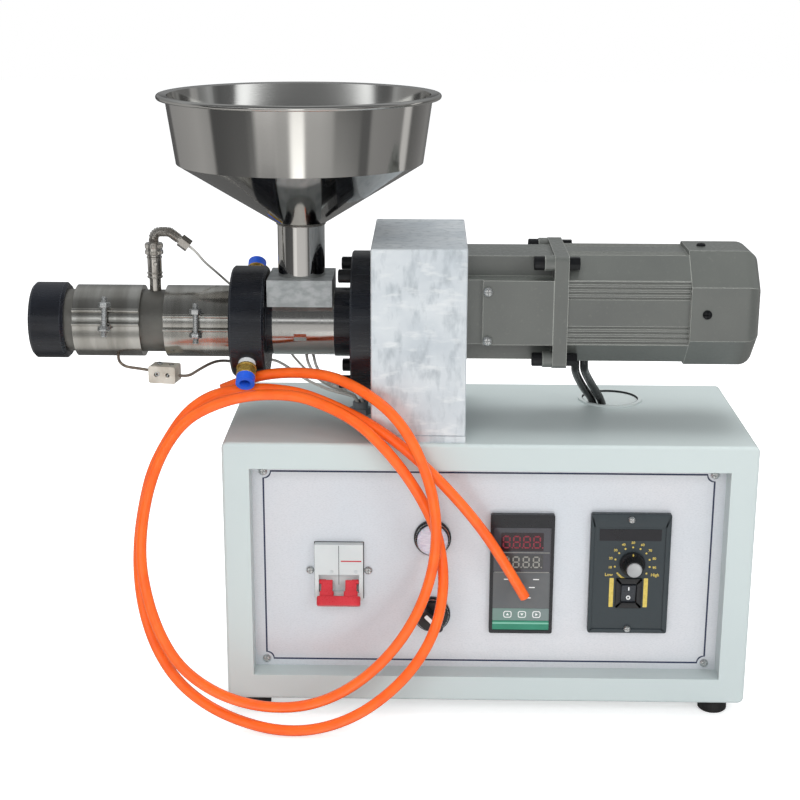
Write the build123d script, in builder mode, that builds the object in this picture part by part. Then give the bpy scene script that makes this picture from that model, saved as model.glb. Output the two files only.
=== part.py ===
import os
from math import cos, pi, radians, sin, tan

from build123d import *

# Filament extruder: a benchtop single-screw machine on a control cabinet.
# Millimetres, +Z up, the control panel faces -Y. The origin is on the floor under the barrel's
# axis, midway between the die cap's end and the fan cover's end.

os.makedirs("parts", exist_ok=True)

# Cabinet
cabinet_width = 393
cabinet_depth = 168
cabinet_height = 205
sheet = 2
cabinet_edge = 2.5
frame_border = 20
frame_rim_depth = 12
panel_recess = 18
foot_height = 13
foot_radius = 11
foot_inset = 20
cable_hole_radius = 24
cable_hole_from_right = 96
cable_hole_from_back = 43
grommet_wall = 1.5
grommet_lip = 1.5
block_set_back = 8

# Barrel line, along X
axis_rise = 75
barrel_radius = 23.5
cap_radius = 28.7
cap_length = 26
cap_gap = 7
die_radius = 1.5
heater_radius = 27
heater_length = 50
slip_gap = 0.2
lip_radius = 1.6
lip_half_angle = 10.5
front_clamp_turn = 17
rear_clamp_turn = 9
clamp_screw_radius = 2
clamp_screw_length = 30
clamp_nut_radius = 3.6
clamp_nut_height = 3
sensor_gap = 18
ring_radius = 42
ring_length = 26
ring_collar_length = 5
ring_collar_radius = 24.7
throat_radius = 25
throat_length = 46
slot_length = 9.5
slot_height = 6
slot_depth = 3
slot_turn = 16
hub_radius = 26
hub_length = 13
flange_radius = 54
flange_thickness = 16
flange_bolt_circle = 47.5
flange_bolt_half_angle = 58
bolt_head_radius = 5
bolt_head_height = 9

# Thrust block, gearbox and motor, along X
block_width = 69
block_depth = 132
block_height = 138
block_from_centre = 87
plate_thickness = 5
gearbox_length = 63.5
gearbox_size = 78
gearbox_notch = 15
gearbox_plate_thickness = 3
gearbox_plate_length = 51.5
motor_rise = 17
motor_flange_size = 84
motor_flange_thickness = 10.5
motor_bolt_half_pitch = 36
motor_length = 89
motor_size = 80
motor_corner = 16
rib_pitch = 3.75
rib_groove = 1.9
rib_depth = 1.4
rib_count = 4
rib_first = 11
fan_cover_length = 51.5
fan_cover_size = 86
fan_cover_corner = 23
fan_cover_round = 11
nut_height = 8
vent_count = 12
vent_circle = 23
vent_length = 15
vent_width = 3
vent_depth = 2
motor_lead_radius = 2.5

# Hopper and feed block
feed_block_size = 49.5
feed_block_top = 36.5
feed_block_bottom = 16.5
feed_block_overlap = 4
feed_pocket_wall = 4
bore_play = 0.12
spout_radius = 17.6
spout_depth = 10
hopper_wall = 1.2
cone_bottom_rise = 75.5
seam_rise = 121
rim_rise = 171
rim_radius = 104
rim_width = 6.5
wall_flare = 6.5
rim_bead = 2

# Cooling fittings
fitting_angle = 35
seal_radius = 5.6
seal_length = 4
fitting_body_radius = 7.2
fitting_body_length = 9
release_ring_radius = 7
release_ring_length = 7
tube_bore_radius = 4.1

# Sensor
sensor_radius = 5.3
sensor_height = 36
elbow_radius = 3.2
elbow_rise = 8.5
elbow_bend = 5
elbow_run = 12
elbow_slope = 37
elbow_reach = 18
elbow_nut_radius = 5
elbow_nut_length = 8
sensor_lead_radius = 0.9

# Terminal block, its leads and their gland
terminal_length = 21
terminal_depth = 14
terminal_height = 13
terminal_tilt = 10
terminal_drop = 36.5
terminal_forward = 18
terminal_hole_radius = 1.7
terminal_hole_pitch = 9
lead_radius = 1.1
gland_radius = 8.5
gland_base_height = 5
gland_top_radius = 6
gland_height = 10
gland_bore_radius = 4.5
gland_bore_depth = 3
gland_from_block = 10.75
gland_y = 9

# Cooling tube
tube_radius = 4

# Panel controls, from the cabinet's sides and its bottom
breaker_from_left = 84.8
breaker_z = 99
breaker_width = 36.5
breaker_height = 45
breaker_proud = 6
lever_pivot_below = 8
lever_width = 8
lever_thickness = 3.6
lever_length = 18
lever_droop = 58
lever_pin_radius = 1.8
lamp_from_left = 155.3
lamp_z = 126
lamp_radius = 14
selector_z = 64
round_bezel_proud = 3
selector_radius = 11.5
grip_width = 7
grip_height = 10
disc_height = 3
controller_from_left = 222.8
controller_z = 98.2
controller_width = 48
controller_height = 96
speed_from_right = 89.2
speed_z = 99.5
speed_width = 60
speed_height = 96
bezel_proud = 4
knob_offset = 1.9
knob_z = 107.8
knob_radius = 12
knob_cap_radius = 9
knob_cap_height = 11
rocker_z = 84.5
rocker_width = 19
rocker_height = 23
rocker_tilt = 8
rocker_pin_radius = 0.9
play = 0.5

# Stations worked out from the lengths above
reach_left = (
    cap_length + cap_gap + 2 * heater_length + sensor_gap + ring_length
    + ring_collar_length + throat_length + hub_length + flange_thickness
)
reach_right = (
    block_width + gearbox_length + motor_flange_thickness + motor_length + fan_cover_length
)
block_left = (reach_left - reach_right) / 2
block_right = block_left + block_width
gearbox_right = block_right + gearbox_length
motor_left = gearbox_right + motor_flange_thickness
motor_right = motor_left + motor_length
flange_left = block_left - flange_thickness
hub_left = flange_left - hub_length
throat_left = hub_left - throat_length
ring_right = throat_left - ring_collar_length
ring_left = ring_right - ring_length
rear_heater_left = ring_left - heater_length
front_heater_left = rear_heater_left - sensor_gap - heater_length
cap_right = front_heater_left - cap_gap
cap_left = cap_right - cap_length

cabinet_x = block_left + block_from_centre
cabinet_front = -block_depth / 2 - block_set_back / 2
cabinet_back = cabinet_front + cabinet_depth
cabinet_top = foot_height + cabinet_height
cabinet_mid_z = foot_height + cabinet_height / 2
panel_y = cabinet_front + panel_recess
block_bottom = cabinet_top + plate_thickness
axis_z = cabinet_top + axis_rise
motor_z = axis_z + motor_rise
hopper_x = throat_left + feed_block_size / 2 - feed_block_overlap
opening_width = cabinet_width - 2 * frame_border
opening_height = cabinet_height - 2 * frame_border
breaker_x = cabinet_x - cabinet_width / 2 + breaker_from_left
lamp_x = cabinet_x - cabinet_width / 2 + lamp_from_left
controller_x = cabinet_x - cabinet_width / 2 + controller_from_left
speed_x = cabinet_x + cabinet_width / 2 - speed_from_right
wall_top_radius = rim_radius - rim_width
seam_radius = wall_top_radius - wall_flare


def across(x, z=axis_z):
    """Sketch plane square to the barrel line at station x."""
    return Plane(origin=(x, 0, z), x_dir=(0, 1, 0), z_dir=(1, 0, 0))


def facing(x, z, y=panel_y):
    """Sketch plane parallel to the control panel; extruding comes towards the user."""
    return Plane(origin=(x, y, z), x_dir=(1, 0, 0), z_dir=(0, -1, 0))


def save(part, name):
    part.label = name
    export_step(part, f"parts/{name}.step")


def cord(points, radius, name):
    """Round cord along straight runs joined by the largest arcs that they allow."""
    stations = [Vector(*point) for point in points]
    runs = [after - before for before, after in zip(stations, stations[1:])]
    bends = [
        0.45 * min(before.length, after.length) / tan(radians(before.get_angle(after)) / 2)
        for before, after in zip(runs, runs[1:])
    ]
    with BuildPart() as body:
        with BuildLine() as path:
            FilletPolyline(*stations, radius=bends)
        with BuildSketch(Plane(origin=stations[0], z_dir=runs[0])):
            Circle(radius)
        sweep(path=path.line)
    length = sum(edge.length for edge in path.edges())
    share = body.part.volume / (pi * radius**2 * length)
    print(f"{name}: {length:.0f} mm long, volume {share:.3f} of section by length, radii from "
          f"{min(bends):.0f} mm: {[round(bend) for bend in bends]}")
    return body.part


# Cabinet wrap: top, sides and base folded from one sheet, with the cable hole in the top
with BuildPart() as cabinet_wrap:
    with BuildSketch(facing(cabinet_x, cabinet_mid_z, cabinet_back - sheet)):
        RectangleRounded(cabinet_width, cabinet_height, cabinet_edge + sheet)
        RectangleRounded(
            cabinet_width - 2 * sheet, cabinet_height - 2 * sheet, cabinet_edge, mode=Mode.SUBTRACT
        )
    extrude(amount=cabinet_depth - sheet - frame_rim_depth)
    hole_x = cabinet_x + cabinet_width / 2 - cable_hole_from_right
    hole_y = cabinet_back - cable_hole_from_back
    with Locations((hole_x, hole_y, cabinet_top - sheet / 2)):
        Cylinder(cable_hole_radius, sheet + 2, mode=Mode.SUBTRACT)
save(cabinet_wrap.part, "cabinet_wrap")

# Back panel: a flat sheet that closes the wrap
with BuildPart() as back_panel:
    with BuildSketch(facing(cabinet_x, cabinet_mid_z, cabinet_back)):
        RectangleRounded(cabinet_width, cabinet_height, cabinet_edge + sheet)
    extrude(amount=sheet)
save(back_panel.part, "back_panel")

# Front frame: a shallow tray with the panel's opening and its return flanges
with BuildPart() as front_frame:
    with BuildSketch(facing(cabinet_x, cabinet_mid_z, cabinet_front + frame_rim_depth)):
        RectangleRounded(cabinet_width, cabinet_height, cabinet_edge + sheet)
    extrude(amount=frame_rim_depth)
    fillet(front_frame.faces().sort_by(Axis.Y)[0].edges(), cabinet_edge)
    with BuildSketch(facing(cabinet_x, cabinet_mid_z, cabinet_front + frame_rim_depth)):
        RectangleRounded(cabinet_width - 2 * sheet, cabinet_height - 2 * sheet, cabinet_edge)
    extrude(amount=frame_rim_depth - sheet, mode=Mode.SUBTRACT)
    with BuildSketch(facing(cabinet_x, cabinet_mid_z, panel_y)):
        Rectangle(opening_width + 2 * sheet, opening_height + 2 * sheet)
    extrude(amount=panel_recess)
    with BuildSketch(facing(cabinet_x, cabinet_mid_z, panel_y)):
        Rectangle(opening_width, opening_height)
    extrude(amount=panel_recess + 1, mode=Mode.SUBTRACT)
save(front_frame.part, "front_frame")

# Control panel: the recessed plate behind the frame's flanges
with BuildPart() as control_panel:
    with BuildSketch(facing(cabinet_x, cabinet_mid_z, panel_y + sheet)):
        Rectangle(opening_width + 2 * sheet, opening_height + 2 * sheet)
    extrude(amount=sheet)
save(control_panel.part, "control_panel")

# Four round rubber feet
foot_x = cabinet_width / 2 - foot_inset
foot_y = cabinet_depth / 2 - foot_inset
with BuildPart() as feet:
    with Locations((cabinet_x, cabinet_front + cabinet_depth / 2, foot_height / 2)):
        with Locations((-foot_x, -foot_y), (foot_x, -foot_y), (-foot_x, foot_y), (foot_x, foot_y)):
            Cylinder(foot_radius, foot_height)
    chamfer(feet.faces().filter_by(Axis.Z).group_by(Axis.Z)[0].edges(), 1.2)
save(feet.part, "feet")

# Cable grommet: a rubber ring on the edge of the cable hole
with BuildPart() as cable_grommet:
    with Locations((hole_x, hole_y, cabinet_top + grommet_lip / 2)):
        Cylinder(cable_hole_radius + grommet_wall, grommet_lip)
        Cylinder(cable_hole_radius - grommet_wall, 3 * sheet, mode=Mode.SUBTRACT)
save(cable_grommet.part, "cable_grommet")

# Breaker nose, with a pocket for its twin lever
pivot_y = panel_y - breaker_proud + 2
pivot_z = foot_height + breaker_z - lever_pivot_below
pocket_width = breaker_width - 6
with BuildPart() as breaker:
    with BuildSketch(facing(breaker_x, foot_height + breaker_z)):
        Rectangle(breaker_width, breaker_height)
    extrude(amount=breaker_proud)
    with BuildSketch(facing(breaker_x, pivot_z - lever_thickness / 4, panel_y - breaker_proud)):
        Rectangle(pocket_width, 4 * lever_thickness)
    extrude(amount=1 - breaker_proud, mode=Mode.SUBTRACT)
save(breaker.part, "breaker")

# Twin lever joined by a bar, on a pin across the pocket
droop = radians(lever_droop)
lever_aim = Vector(0, -cos(droop), -sin(droop))
lever_plane = Plane(origin=(breaker_x, pivot_y, pivot_z), x_dir=(1, 0, 0), z_dir=lever_aim)
with BuildPart() as breaker_lever:
    with Locations(Location((breaker_x, pivot_y, pivot_z), (0, 90, 0))):
        Cylinder(lever_pin_radius, pocket_width - 2 * play)
    with BuildSketch(lever_plane):
        with Locations((-breaker_width / 4, 0), (breaker_width / 4, 0)):
            Rectangle(lever_width, lever_thickness)
    extrude(amount=lever_length)
    with BuildSketch(lever_plane.offset(lever_length)):
        Rectangle(breaker_width - lever_thickness, lever_thickness + 1.4)
    extrude(amount=-lever_thickness)
save(breaker_lever.part, "breaker_lever")

# Bezels of the pilot lamp and the selector, and the lamp's lens
with BuildPart() as round_bezels:
    with BuildSketch(facing(lamp_x, foot_height)):
        with Locations((0, lamp_z), (0, selector_z)):
            Circle(lamp_radius)
    extrude(amount=round_bezel_proud)
    chamfer(round_bezels.faces().group_by(Axis.Y)[0].edges(), 0.8)
save(round_bezels.part, "round_bezels")
with BuildPart() as lamp_lens:
    with BuildSketch(facing(lamp_x, foot_height + lamp_z, panel_y - round_bezel_proud)):
        Circle(lamp_radius - 2.5)
    extrude(amount=2 * round_bezel_proud)
    chamfer(lamp_lens.faces().sort_by(Axis.Y)[0].edges(), round_bezel_proud / 2)
save(lamp_lens.part, "lamp_lens")

# Selector handle: a disc with a grip across it
selector_y = panel_y - round_bezel_proud - play
with BuildPart() as selector_knob:
    with BuildSketch(facing(lamp_x, foot_height + selector_z, selector_y)):
        Circle(selector_radius)
    extrude(amount=disc_height)
    with BuildSketch(facing(lamp_x, foot_height + selector_z, selector_y - disc_height)):
        SlotOverall(2 * selector_radius - 2, grip_width, rotation=135)
    extrude(amount=grip_height)
save(selector_knob.part, "selector_knob")

# Temperature controller: a bezel round a sunken face
with BuildPart() as controller:
    with BuildSketch(facing(controller_x, foot_height + controller_z)):
        RectangleRounded(controller_width, controller_height, 1.5)
    extrude(amount=bezel_proud)
    with BuildSketch(facing(controller_x, foot_height + controller_z, panel_y - bezel_proud)):
        RectangleRounded(controller_width - 5, controller_height - 5, 1)
    extrude(amount=-0.7, mode=Mode.SUBTRACT)
save(controller.part, "controller")

# Speed controller, with a pocket for its rocker
rocker_x = speed_x
rocker_mid_z = foot_height + rocker_z
with BuildPart() as speed_bezel:
    with BuildSketch(facing(speed_x, foot_height + speed_z)):
        RectangleRounded(speed_width, speed_height, 1.5)
    extrude(amount=bezel_proud)
    with BuildSketch(facing(rocker_x, rocker_mid_z, panel_y - bezel_proud)):
        Rectangle(rocker_width, rocker_height)
    extrude(amount=-(bezel_proud - 0.5), mode=Mode.SUBTRACT)
save(speed_bezel.part, "speed_bezel")

rocker_y = panel_y - bezel_proud + rocker_pin_radius
rocker_plane = Plane(
    origin=(rocker_x - rocker_width / 2 + play, rocker_y, rocker_mid_z), x_dir=(0, 1, 0), z_dir=(1, 0, 0)
)
with BuildPart() as rocker:
    with BuildSketch(rocker_plane.rotated((rocker_tilt, 0, 0))):
        with BuildLine():
            half = rocker_height / 2 - 2 * play
            Polyline((-2, half), (1, half * 0.75), (1, -half * 0.75), (-2, -half))
            ThreePointArc((-2, -half), (-0.6, 0), (-2, half))
        make_face()
    extrude(amount=rocker_width - 2 * play)
    with Locations(Location((rocker_x, rocker_y, rocker_mid_z), (0, 90, 0))):
        Cylinder(rocker_pin_radius, rocker_width - play)
save(rocker.part, "rocker")

# Speed knob: a skirt with a cap on it
knob_x = speed_x + knob_offset
knob_y = panel_y - bezel_proud - play
with BuildPart() as speed_knob:
    with BuildSketch(facing(knob_x, foot_height + knob_z, knob_y)):
        Circle(knob_radius)
    extrude(amount=disc_height)
    with BuildSketch(facing(knob_x, foot_height + knob_z, knob_y - disc_height)):
        Circle(knob_cap_radius)
    extrude(amount=knob_cap_height)
    chamfer(speed_knob.faces().sort_by(Axis.Y)[0].edges(), 0.8)
save(speed_knob.part, "speed_knob")

# Base plate and thrust block
block_x = block_left + block_width / 2
with BuildPart() as base_plate:
    with Locations((block_x, 0, cabinet_top + plate_thickness / 2)):
        Box(block_width, block_depth, plate_thickness)
save(base_plate.part, "base_plate")
with BuildPart() as thrust_block:
    with Locations((block_x, 0, block_bottom + block_height / 2)):
        Box(block_width, block_depth, block_height)
    chamfer(thrust_block.edges(), 0.8)
save(thrust_block.part, "thrust_block")

# Gearbox: a square casting with bolt notches along its corners and a raised pad on its front
with BuildPart() as gearbox:
    with BuildSketch(across(block_right, motor_z)):
        Rectangle(gearbox_size, gearbox_size)
        corner = gearbox_size / 2
        with Locations((corner, corner), (-corner, corner), (corner, -corner), (-corner, -corner)):
            Rectangle(2 * gearbox_notch, 2 * gearbox_notch, mode=Mode.SUBTRACT)
    extrude(amount=gearbox_length)
    with BuildSketch(facing(gearbox_right - gearbox_plate_length / 2, motor_z, -corner)):
        Rectangle(gearbox_plate_length, gearbox_size - 2 * gearbox_notch)
    extrude(amount=gearbox_plate_thickness)
save(gearbox.part, "gearbox")

# Motor flange, ribbed motor housing and fan cover
with BuildPart() as motor_flange:
    with BuildSketch(across(gearbox_right, motor_z)):
        RectangleRounded(motor_flange_size, motor_flange_size, 4)
    extrude(amount=motor_flange_thickness)
save(motor_flange.part, "motor_flange")

with BuildPart() as motor_housing:
    with BuildSketch(across(motor_left, motor_z)) as housing_profile:
        Rectangle(motor_size, motor_size)
        chamfer(housing_profile.vertices(), motor_corner)
        for quarter in range(4):
            for side in (-1, 1):
                for rib in range(rib_count):
                    offset_across = side * (rib_first + rib * rib_pitch)
                    with Locations(Rotation(0, 0, 90 * quarter) * Pos(motor_size / 2, offset_across)):
                        Rectangle(2 * rib_depth, rib_groove, mode=Mode.SUBTRACT)
    extrude(amount=motor_length)
save(motor_housing.part, "motor_housing")

with BuildPart() as fan_cover:
    with BuildSketch(across(motor_right, motor_z)) as cover_profile:
        Rectangle(fan_cover_size, fan_cover_size)
        chamfer(cover_profile.vertices(), fan_cover_corner)
    extrude(amount=fan_cover_length)
    fillet(fan_cover.faces().sort_by(Axis.X)[-1].edges(), fan_cover_round)
    with BuildSketch(across(motor_right + fan_cover_length, motor_z)):
        with PolarLocations(vent_circle, vent_count):
            SlotOverall(vent_length, vent_width)
    extrude(amount=-vent_depth, mode=Mode.SUBTRACT)
save(fan_cover.part, "fan_cover")

# Long gearbox bolts: socket heads before the flange and cap nuts behind it
with BuildPart() as gearbox_bolts:
    for y_sign in (-1, 1):
        for z_sign in (-1, 1):
            bolt_y = y_sign * motor_bolt_half_pitch
            bolt_z = motor_z + z_sign * motor_bolt_half_pitch
            with BuildSketch(across(gearbox_right - bolt_head_height, bolt_z)):
                with Locations((bolt_y, 0)):
                    Circle(bolt_head_radius)
            extrude(amount=bolt_head_height)
            with BuildSketch(across(motor_left, bolt_z)):
                with Locations((bolt_y, 0)):
                    RegularPolygon(bolt_head_radius, 6)
            extrude(amount=nut_height)
save(gearbox_bolts.part, "gearbox_bolts")

# Motor cable: two leads from under the motor, held by the cable hole on their way inside.
# Their routes start from the hole's centre and the motor's underside.
motor_bottom = motor_z - motor_size / 2
lead_routes = (
    (
        (-28.75, -63, 0), (-28.75, -63, -8), (-26.75, -52, -15.5), (-22.25, -38, -25),
        (-16.25, -26, -36), (-9.75, -16, -47), (-6.65, -11.5, -57), (-5.75, -10, -70),
    ),
    (
        (-34.25, -63, 0), (-34.25, -63, -8), (-32.75, -52, -16), (-28.75, -38, -25.5),
        (-22.75, -25, -37), (-15.25, -13, -47.5), (-12.5, -9.5, -57.5), (-11.75, -8.5, -70),
    ),
)
with BuildPart() as motor_cable:
    for route in lead_routes:
        points = [(hole_x + x, hole_y + y, motor_bottom + z) for x, y, z in route]
        add(cord(points, motor_lead_radius, "motor lead"))
save(motor_cable.part, "motor_cable")

# Bearing flange with the hub in front of it, and its four bolts
with BuildPart() as bearing_flange:
    with BuildSketch(across(flange_left)):
        Circle(flange_radius)
    extrude(amount=flange_thickness)
    chamfer(bearing_flange.edges(), 1)
    with BuildSketch(across(hub_left)):
        Circle(hub_radius)
    extrude(amount=hub_length)
save(bearing_flange.part, "bearing_flange")
with BuildPart() as flange_bolts:
    for half_turn in (0, 180):
        for side in (-1, 1):
            angle = radians(half_turn + 90 + side * (90 - flange_bolt_half_angle))
            with BuildSketch(across(flange_left - bolt_head_height)):
                with Locations((flange_bolt_circle * cos(angle), flange_bolt_circle * sin(angle))):
                    Circle(bolt_head_radius)
            extrude(amount=bolt_head_height)
save(flange_bolts.part, "flange_bolts")

# Throat: the polished feed section, with the feed pocket above and a slot in its front
feed_pocket_radius = spout_radius - feed_pocket_wall
slot_aim = Vector(0, -cos(radians(slot_turn)), -sin(radians(slot_turn)))
slot_plane = Plane(
    origin=Vector(hopper_x, 0, axis_z) + slot_aim * (throat_radius - slot_depth), x_dir=(1, 0, 0),
    z_dir=slot_aim,
)
with BuildPart() as feed_throat:
    with BuildSketch(across(throat_left)):
        Circle(throat_radius)
    extrude(amount=throat_length)
    with BuildSketch(Plane.XY.offset(axis_z)):
        with Locations((hopper_x, 0)):
            Circle(feed_pocket_radius)
    extrude(amount=throat_radius, mode=Mode.SUBTRACT)
    with BuildSketch(slot_plane):
        Rectangle(slot_length, slot_height)
    extrude(amount=2 * slot_depth, mode=Mode.SUBTRACT)
save(feed_throat.part, "feed_throat")

# Feed block: an aluminium block saddled on the throat, bored for the spout
with BuildPart() as feed_block:
    block_rise = feed_block_top - feed_block_bottom
    with Locations((hopper_x, 0, axis_z + feed_block_bottom + block_rise / 2)):
        Box(feed_block_size - 1, feed_block_size, block_rise)
    with BuildSketch(across(hopper_x - feed_block_size)):
        Circle(throat_radius + bore_play)
    extrude(amount=2 * feed_block_size, mode=Mode.SUBTRACT)
    with BuildSketch(Plane.XY.offset(axis_z)):
        with Locations((hopper_x, 0)):
            Circle(feed_pocket_radius)
    extrude(amount=2 * feed_block_top, mode=Mode.SUBTRACT)
    with BuildSketch(Plane.XY.offset(axis_z + feed_block_top - spout_depth)):
        with Locations((hopper_x, 0)):
            Circle(spout_radius + bore_play)
    extrude(amount=2 * spout_depth, mode=Mode.SUBTRACT)
save(feed_block.part, "feed_block")

# Hopper spout and bowl, thin spun steel
spout_bottom = axis_z + feed_block_top - spout_depth
cone_bottom = axis_z + cone_bottom_rise
with BuildPart() as hopper_spout:
    with BuildSketch(Plane.XY.offset(spout_bottom)):
        with Locations((hopper_x, 0)):
            Circle(spout_radius)
            Circle(spout_radius - hopper_wall, mode=Mode.SUBTRACT)
    extrude(amount=cone_bottom - spout_bottom)
save(hopper_spout.part, "hopper_spout")

seam_z = axis_z + seam_rise
rim_z = axis_z + rim_rise
with BuildPart() as hopper_bowl:
    with BuildSketch(Plane.XZ):
        with BuildLine():
            Polyline(
                (hopper_x + spout_radius, cone_bottom),
                (hopper_x + seam_radius, seam_z),
                (hopper_x + wall_top_radius, rim_z - 2 * rim_bead),
                (hopper_x + rim_radius - rim_bead, rim_z - rim_bead),
                (hopper_x + rim_radius - rim_bead, rim_z),
                (hopper_x + wall_top_radius - hopper_wall, rim_z - rim_bead + hopper_wall),
                (hopper_x + seam_radius - hopper_wall, seam_z + hopper_wall),
                (hopper_x + spout_radius - hopper_wall, cone_bottom + hopper_wall),
                (hopper_x + spout_radius - hopper_wall, cone_bottom),
                close=True,
            )
        make_face()
        with Locations((hopper_x + rim_radius - rim_bead, rim_z - rim_bead)):
            Circle(rim_bead)
    revolve(axis=Axis((hopper_x, 0, 0), (0, 0, 1)))
save(hopper_bowl.part, "hopper_bowl")

# Cooling ring on the barrel
with BuildPart() as cooling_ring:
    with BuildSketch(across(ring_left)):
        Circle(ring_radius)
        Circle(barrel_radius + slip_gap, mode=Mode.SUBTRACT)
    extrude(amount=ring_length)
    outer_edges = cooling_ring.edges().filter_by(GeomType.CIRCLE).group_by(SortBy.RADIUS)[-1]
    chamfer(outer_edges, 1.5)
    with BuildSketch(across(ring_right)):
        Circle(ring_collar_radius)
        Circle(barrel_radius + slip_gap, mode=Mode.SUBTRACT)
    extrude(amount=ring_collar_length)
save(cooling_ring.part, "cooling_ring")

# Barrel, heaters and die cap
with BuildPart() as barrel:
    with BuildSketch(across(cap_right - cap_length / 2)):
        Circle(barrel_radius)
    extrude(amount=throat_left - cap_right + cap_length / 2)
save(barrel.part, "barrel")
heater_stations = ((front_heater_left, front_clamp_turn), (rear_heater_left, rear_clamp_turn))
with BuildPart() as heater_bands:
    for left, clamp_turn in heater_stations:
        with BuildSketch(across(left)):
            Circle(heater_radius)
            Circle(barrel_radius + slip_gap, mode=Mode.SUBTRACT)
            for half in (-lip_half_angle, lip_half_angle):
                with Locations(Rotation(0, 0, 180 - clamp_turn + half) * Pos(heater_radius + lip_radius / 2)):
                    Circle(lip_radius)
        extrude(amount=heater_length)
save(heater_bands.part, "heater_bands")

# Clamp screws across the bands' lips, each with two nuts
lip_reach = (heater_radius + lip_radius / 2) * sin(radians(lip_half_angle))
screw_out = (heater_radius + lip_radius / 2) * cos(radians(lip_half_angle)) + lip_radius
nut_start = lip_reach + lip_radius
with BuildPart() as clamp_screws:
    for left, clamp_turn in heater_stations:
        turn = radians(clamp_turn)
        outward = Vector(0, -cos(turn), sin(turn))
        upward = Vector(0, sin(turn), cos(turn))
        middle = Vector(left + heater_length / 2, 0, axis_z)
        middle += outward * (screw_out + clamp_screw_radius + slip_gap / 4)
        screw_plane = Plane(origin=middle, x_dir=(1, 0, 0), z_dir=upward)
        with BuildSketch(screw_plane):
            Circle(clamp_screw_radius)
        extrude(amount=clamp_screw_length / 2, both=True)
        for nut_side in (nut_start, -nut_start - clamp_nut_height):
            with BuildSketch(screw_plane.offset(nut_side)):
                RegularPolygon(clamp_nut_radius, 6)
            extrude(amount=clamp_nut_height)
save(clamp_screws.part, "clamp_screws")

with BuildPart() as die_cap:
    with BuildSketch(across(cap_left)):
        Circle(cap_radius)
    extrude(amount=cap_length)
    chamfer(die_cap.edges(), 2)
    with BuildSketch(across(cap_right - cap_length / 2)):
        Circle(barrel_radius + slip_gap)
    extrude(amount=cap_length, mode=Mode.SUBTRACT)
    with BuildSketch(across(cap_left)):
        Circle(die_radius)
    extrude(amount=cap_length, mode=Mode.SUBTRACT)
save(die_cap.part, "die_cap")

# Cooling fittings, pointing out of the ring: round seal, brass hexagon and release ring
ring_x = ring_left + ring_length / 2
fitting_planes = []
for turn in (180 + fitting_angle, fitting_angle):
    out = Vector(0, cos(radians(turn)), sin(radians(turn)))
    fitting_root = Vector(ring_x, 0, axis_z) + out * ring_radius
    fitting_planes.append(Plane(origin=fitting_root, x_dir=(1, 0, 0), z_dir=out))
with BuildPart() as fittings:
    for plane in fitting_planes:
        with BuildSketch(plane):
            Circle(seal_radius)
        extrude(amount=seal_length)
        with BuildSketch(plane.offset(seal_length)):
            RegularPolygon(fitting_body_radius, 6)
            Circle(tube_bore_radius, mode=Mode.SUBTRACT)
        extrude(amount=fitting_body_length)
save(fittings.part, "fittings")
with BuildPart() as release_rings:
    for plane in fitting_planes:
        with BuildSketch(plane.offset(seal_length + fitting_body_length)):
            Circle(release_ring_radius)
            Circle(tube_bore_radius, mode=Mode.SUBTRACT)
        extrude(amount=release_ring_length)
save(release_rings.part, "release_rings")

# Temperature sensor on the bare barrel between the heaters: sleeve, cap, elbow and end nut
sensor_x = rear_heater_left - sensor_gap / 2
cap_z = axis_z + barrel_radius + sensor_height
slope = radians(elbow_slope)
elbow_aim = Vector(cos(slope), 0, -sin(slope))
elbow_top = Vector(sensor_x + elbow_run, 0, cap_z + elbow_rise)
elbow_end = elbow_top + elbow_aim * elbow_reach
with BuildPart() as sensor:
    with BuildSketch(Plane.XY.offset(axis_z + barrel_radius)):
        with Locations((sensor_x, 0)):
            Circle(sensor_radius - 1)
    extrude(amount=sensor_height)
    for sleeve_start, sleeve_end, sleeve_radius in ((0.3, 0.75, sensor_radius), (0.8, 1, sensor_radius + 1)):
        with BuildSketch(Plane.XY.offset(axis_z + barrel_radius + sleeve_start * sensor_height)):
            with Locations((sensor_x, 0)):
                Circle(sleeve_radius)
        extrude(amount=(sleeve_end - sleeve_start) * sensor_height)
    with BuildLine() as elbow:
        FilletPolyline(
            (sensor_x, 0, cap_z), (sensor_x, 0, cap_z + elbow_rise), elbow_top, elbow_end,
            radius=elbow_bend,
        )
    with BuildSketch(Plane.XY.offset(cap_z)):
        with Locations((sensor_x, 0)):
            Circle(elbow_radius)
    sweep(path=elbow.line)
    with BuildSketch(Plane(origin=elbow_end, z_dir=elbow_aim)):
        RegularPolygon(elbow_nut_radius, 6)
    extrude(amount=-elbow_nut_length)
save(sensor.part, "sensor")

# Ceramic terminal block that hangs on the leads under the barrel
terminal_mid = Vector(sensor_x + sensor_gap / 2 - 1.5, -terminal_forward, axis_z - terminal_drop)
terminal_plane = Plane(origin=terminal_mid, x_dir=(1, 0, 0), z_dir=(0, -1, 0)).rotated((0, 0, -terminal_tilt))
with BuildPart() as terminal_block:
    with BuildSketch(terminal_plane):
        RectangleRounded(terminal_length, terminal_height, 1.5)
    extrude(amount=terminal_depth / 2, both=True)
    with BuildSketch(terminal_plane.offset(terminal_depth / 2)):
        with Locations((-terminal_hole_pitch / 2, 0), (terminal_hole_pitch / 2, 0)):
            Circle(terminal_hole_radius)
    extrude(amount=-terminal_depth / 2, mode=Mode.SUBTRACT)
save(terminal_block.part, "terminal_block")

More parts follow.
